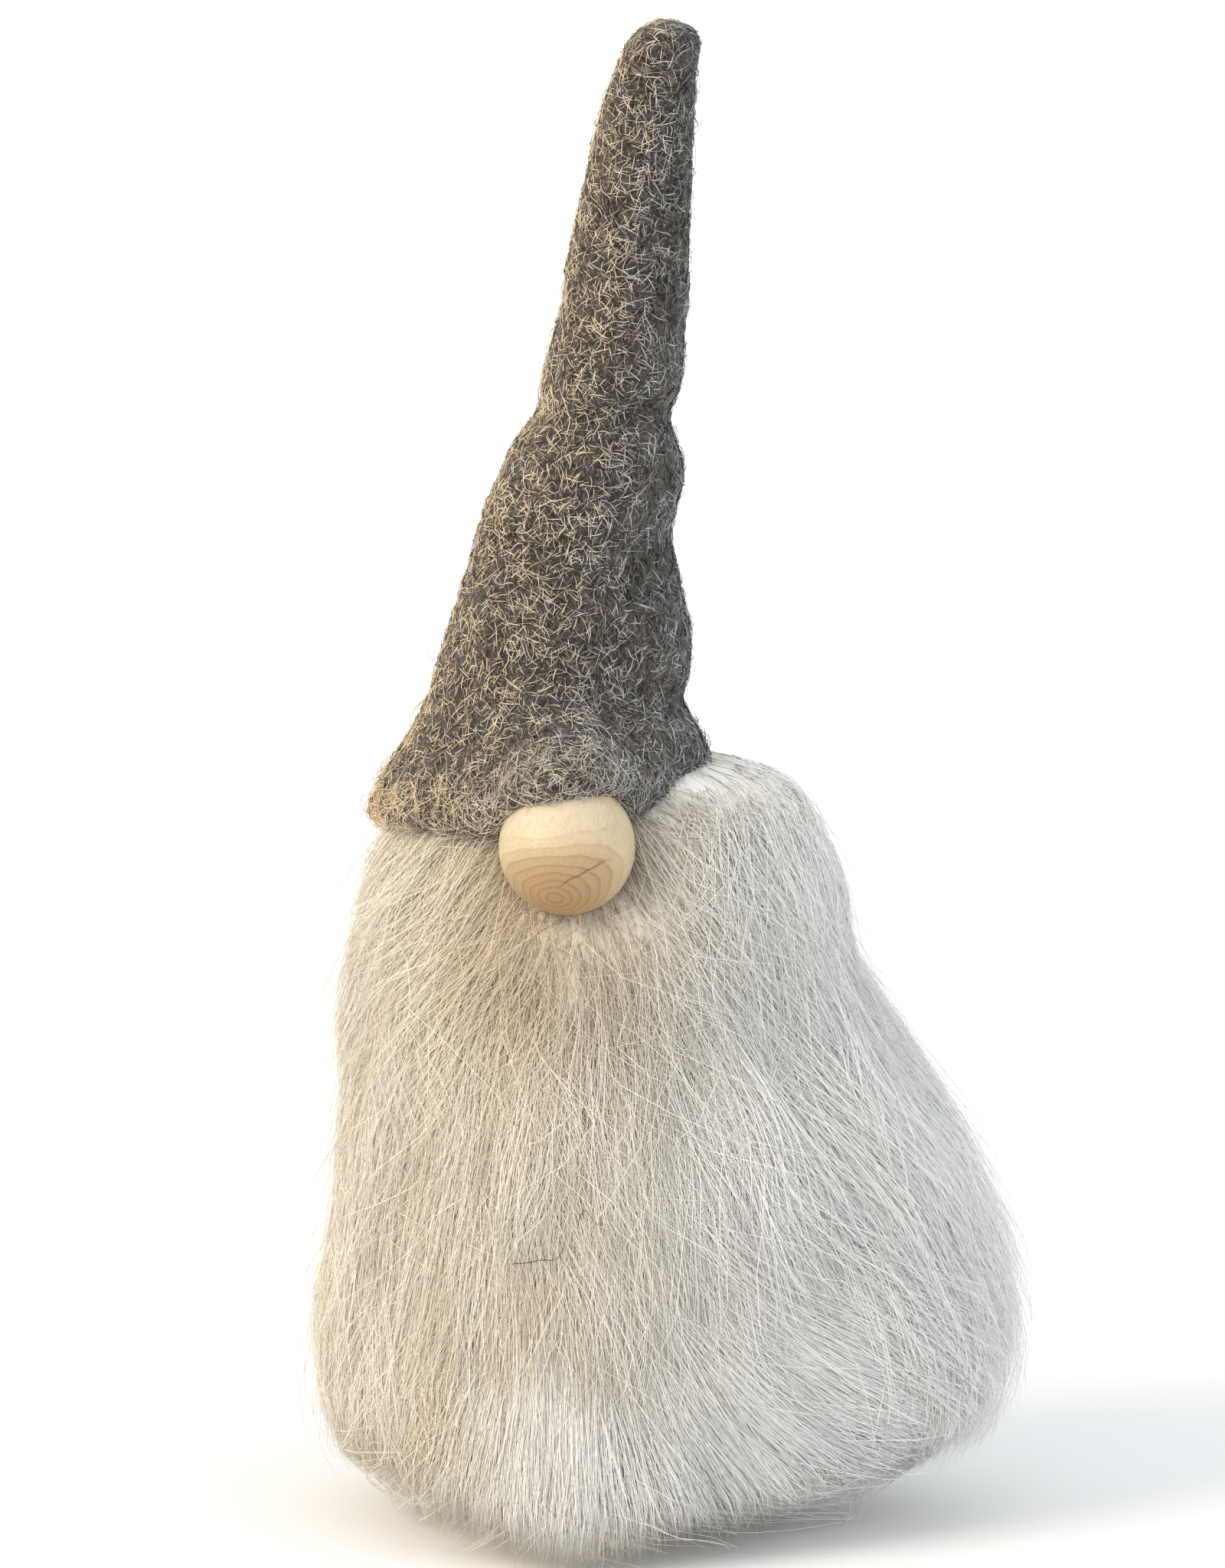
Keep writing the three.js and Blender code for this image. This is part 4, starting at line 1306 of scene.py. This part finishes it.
def make_inside():
    cotton = cloth_material("cotton", (0.78, 0.74, 0.66), (0.55, 0.51, 0.44), 420)
    wadding = fluffy_material("body_wadding", (0.86, 0.86, 0.84), (0.62, 0.62, 0.60), 220)
    sack = lumpy_copy("stuffed_sack", "body_sack", cotton, 0.8 * MM, 16 * MM, 11)
    puff_out(sack, 4, 16, 1.2 * MM)
    stuffing = lumpy_copy("sack_wadding", "body_stuffing", wadding,
                          1.6 * MM, 9 * MM, 12, 0.8 * MM)
    bag = lumpy_copy("sand_bag", "weight_bag", cotton, 0.7 * MM, 12 * MM, 13, 0.1 * MM)

    finishes = {
        "weight_sand": fluffy_material("sand", (0.62, 0.50, 0.34), (0.34, 0.26, 0.17), 1800),
        "base_felt_disc": fluffy_material("base_felt", (0.52, 0.49, 0.45), (0.28, 0.26, 0.24), 900),
        "base_board": fluffy_material("board", (0.56, 0.44, 0.30), (0.42, 0.31, 0.20), 600, 0.8),
        "weight_bag_tie": cord_material("cord", (0.72, 0.66, 0.54), (0.42, 0.37, 0.28)),
        "body_sack_tie": cord_material("sack_cord", (0.72, 0.66, 0.54), (0.42, 0.37, 0.28)),
        "hat_glue_ring": glue_material(),
        "nose_glue_pad": glue_material(),
    }
    for node, finish in finishes.items():
        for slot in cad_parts[node].material_slots:
            slot.material = finish


def backing_cloth(space, name, turns, heights, depth, material, nodes):
    """The knitted cloth that a piece of fur grows on."""
    closed = turns is None
    columns = 119 if closed else 50
    angle = all_round(columns) if closed else np.linspace(*turns, columns)
    across, up = np.meshgrid(angle, np.linspace(*heights, 60))
    skin = space.place(across, up, np.full_like(across, depth))
    skin = skin + unit(skin * np.array([1, 1, 0])) * wavy(skin, 9 * MM, 15)[..., None] * 0.4 * MM
    cloth = mesh_object(name, skin.reshape(-1, 3), quads_between(60, columns, closed), material)
    shell = cloth.modifiers.new("thickness", "SOLIDIFY")
    shell.thickness = 0.9 * MM
    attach(cloth, BODY)
    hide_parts(*nodes)
    return cloth


def thread_run(name, points, radius, material, nodes):
    """A sewn thread along a row of points, as whip stitches."""
    rng = np.random.default_rng(SEED + 3)
    points = np.array(points)
    steps = points[1:] - points[:-1]
    out = unit(points[:-1] * np.array([1, 1, 0]))
    s = np.linspace(0, 1, 7)[None, :, None]
    paths = points[:-1, None] + steps[:, None] * s * 0.8 + out[:, None] * np.sin(math.pi * s) * radius * 2
    paths = paths + np.array([0, 0, 1.0]) * (s - 0.5) * 2.2 * MM
    palette = np.full(paths.shape[:2] + (2,), 0.5)
    piece = strand_object(name, paths, np.full(len(paths), radius), palette, material, rng)
    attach(piece, BODY)
    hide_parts(*nodes)
    return piece


# ---------------------------------------------------------------- studio

def make_floor():
    reaches = (0.001, 0.3, 0.8, 2.0, FLOOR_RADIUS)
    columns = 96
    vertices = []
    for reach in reaches:
        for c in range(columns):
            angle = 2 * math.pi * c / columns
            vertices.append((reach * math.cos(angle), reach * math.sin(angle), 0))
    faces = [(a, d, c, b) for a, b, c, d in quads_between(len(reaches), columns)]
    nodes = Nodes("studio", 0.9, Base_Color=(0.95, 0.95, 0.95, 1), Specular_IOR_Level=0.1)
    floor = mesh_object("studio_floor", vertices, faces, nodes.material)


def make_sun(name, strength, spread, colour, heading):
    """A soft lamp that shines along a heading, its disc so many degrees wide."""
    sun = bpy.data.lights.new(name, "SUN")
    sun.energy = strength
    sun.angle = math.radians(spread)
    sun.color = colour
    holder = link(bpy.data.objects.new(name, sun))
    holder.rotation_euler = Vector(heading).to_track_quat("-Z", "Y").to_euler()


def make_camera():
    camera = bpy.data.cameras.new("camera")
    camera.lens = CAMERA_LENS
    camera.sensor_width = CAMERA_SENSOR
    camera.clip_start = 0.01
    distance = VIEW_HEIGHT * CAMERA_LENS / CAMERA_SENSOR
    away = Vector((0, -math.cos(CAMERA_ELEVATION), math.sin(CAMERA_ELEVATION)))
    holder = link(bpy.data.objects.new("camera", camera))
    holder.location = VIEW_CENTRE + away * distance
    holder.rotation_euler = (math.pi / 2 - CAMERA_ELEVATION, 0, 0)
    bpy.context.scene.camera = holder


def make_studio():
    """A pale floor, a white surround, soft lamps and the camera."""
    make_floor()
    make_sun("key", 2.0, 35, (1.0, 0.86, 0.68), (0.80, 0.46, -0.52))
    make_sun("fill", 0.5, 60, (0.94, 0.97, 1.0), (-0.75, 0.55, -0.35))
    world = bpy.data.worlds.new("studio")
    world.use_nodes = True
    background = world.node_tree.nodes["Background"]
    background.inputs["Color"].default_value = (0.96, 0.985, 1.0, 1)
    background.inputs["Strength"].default_value = 0.93
    scene = bpy.context.scene
    scene.world = world
    scene.view_settings.view_transform = "Standard"
    scene.view_settings.look = "None"
    make_camera()


make_studio()
make_inside()
make_fur()
make_hat()
make_nose()
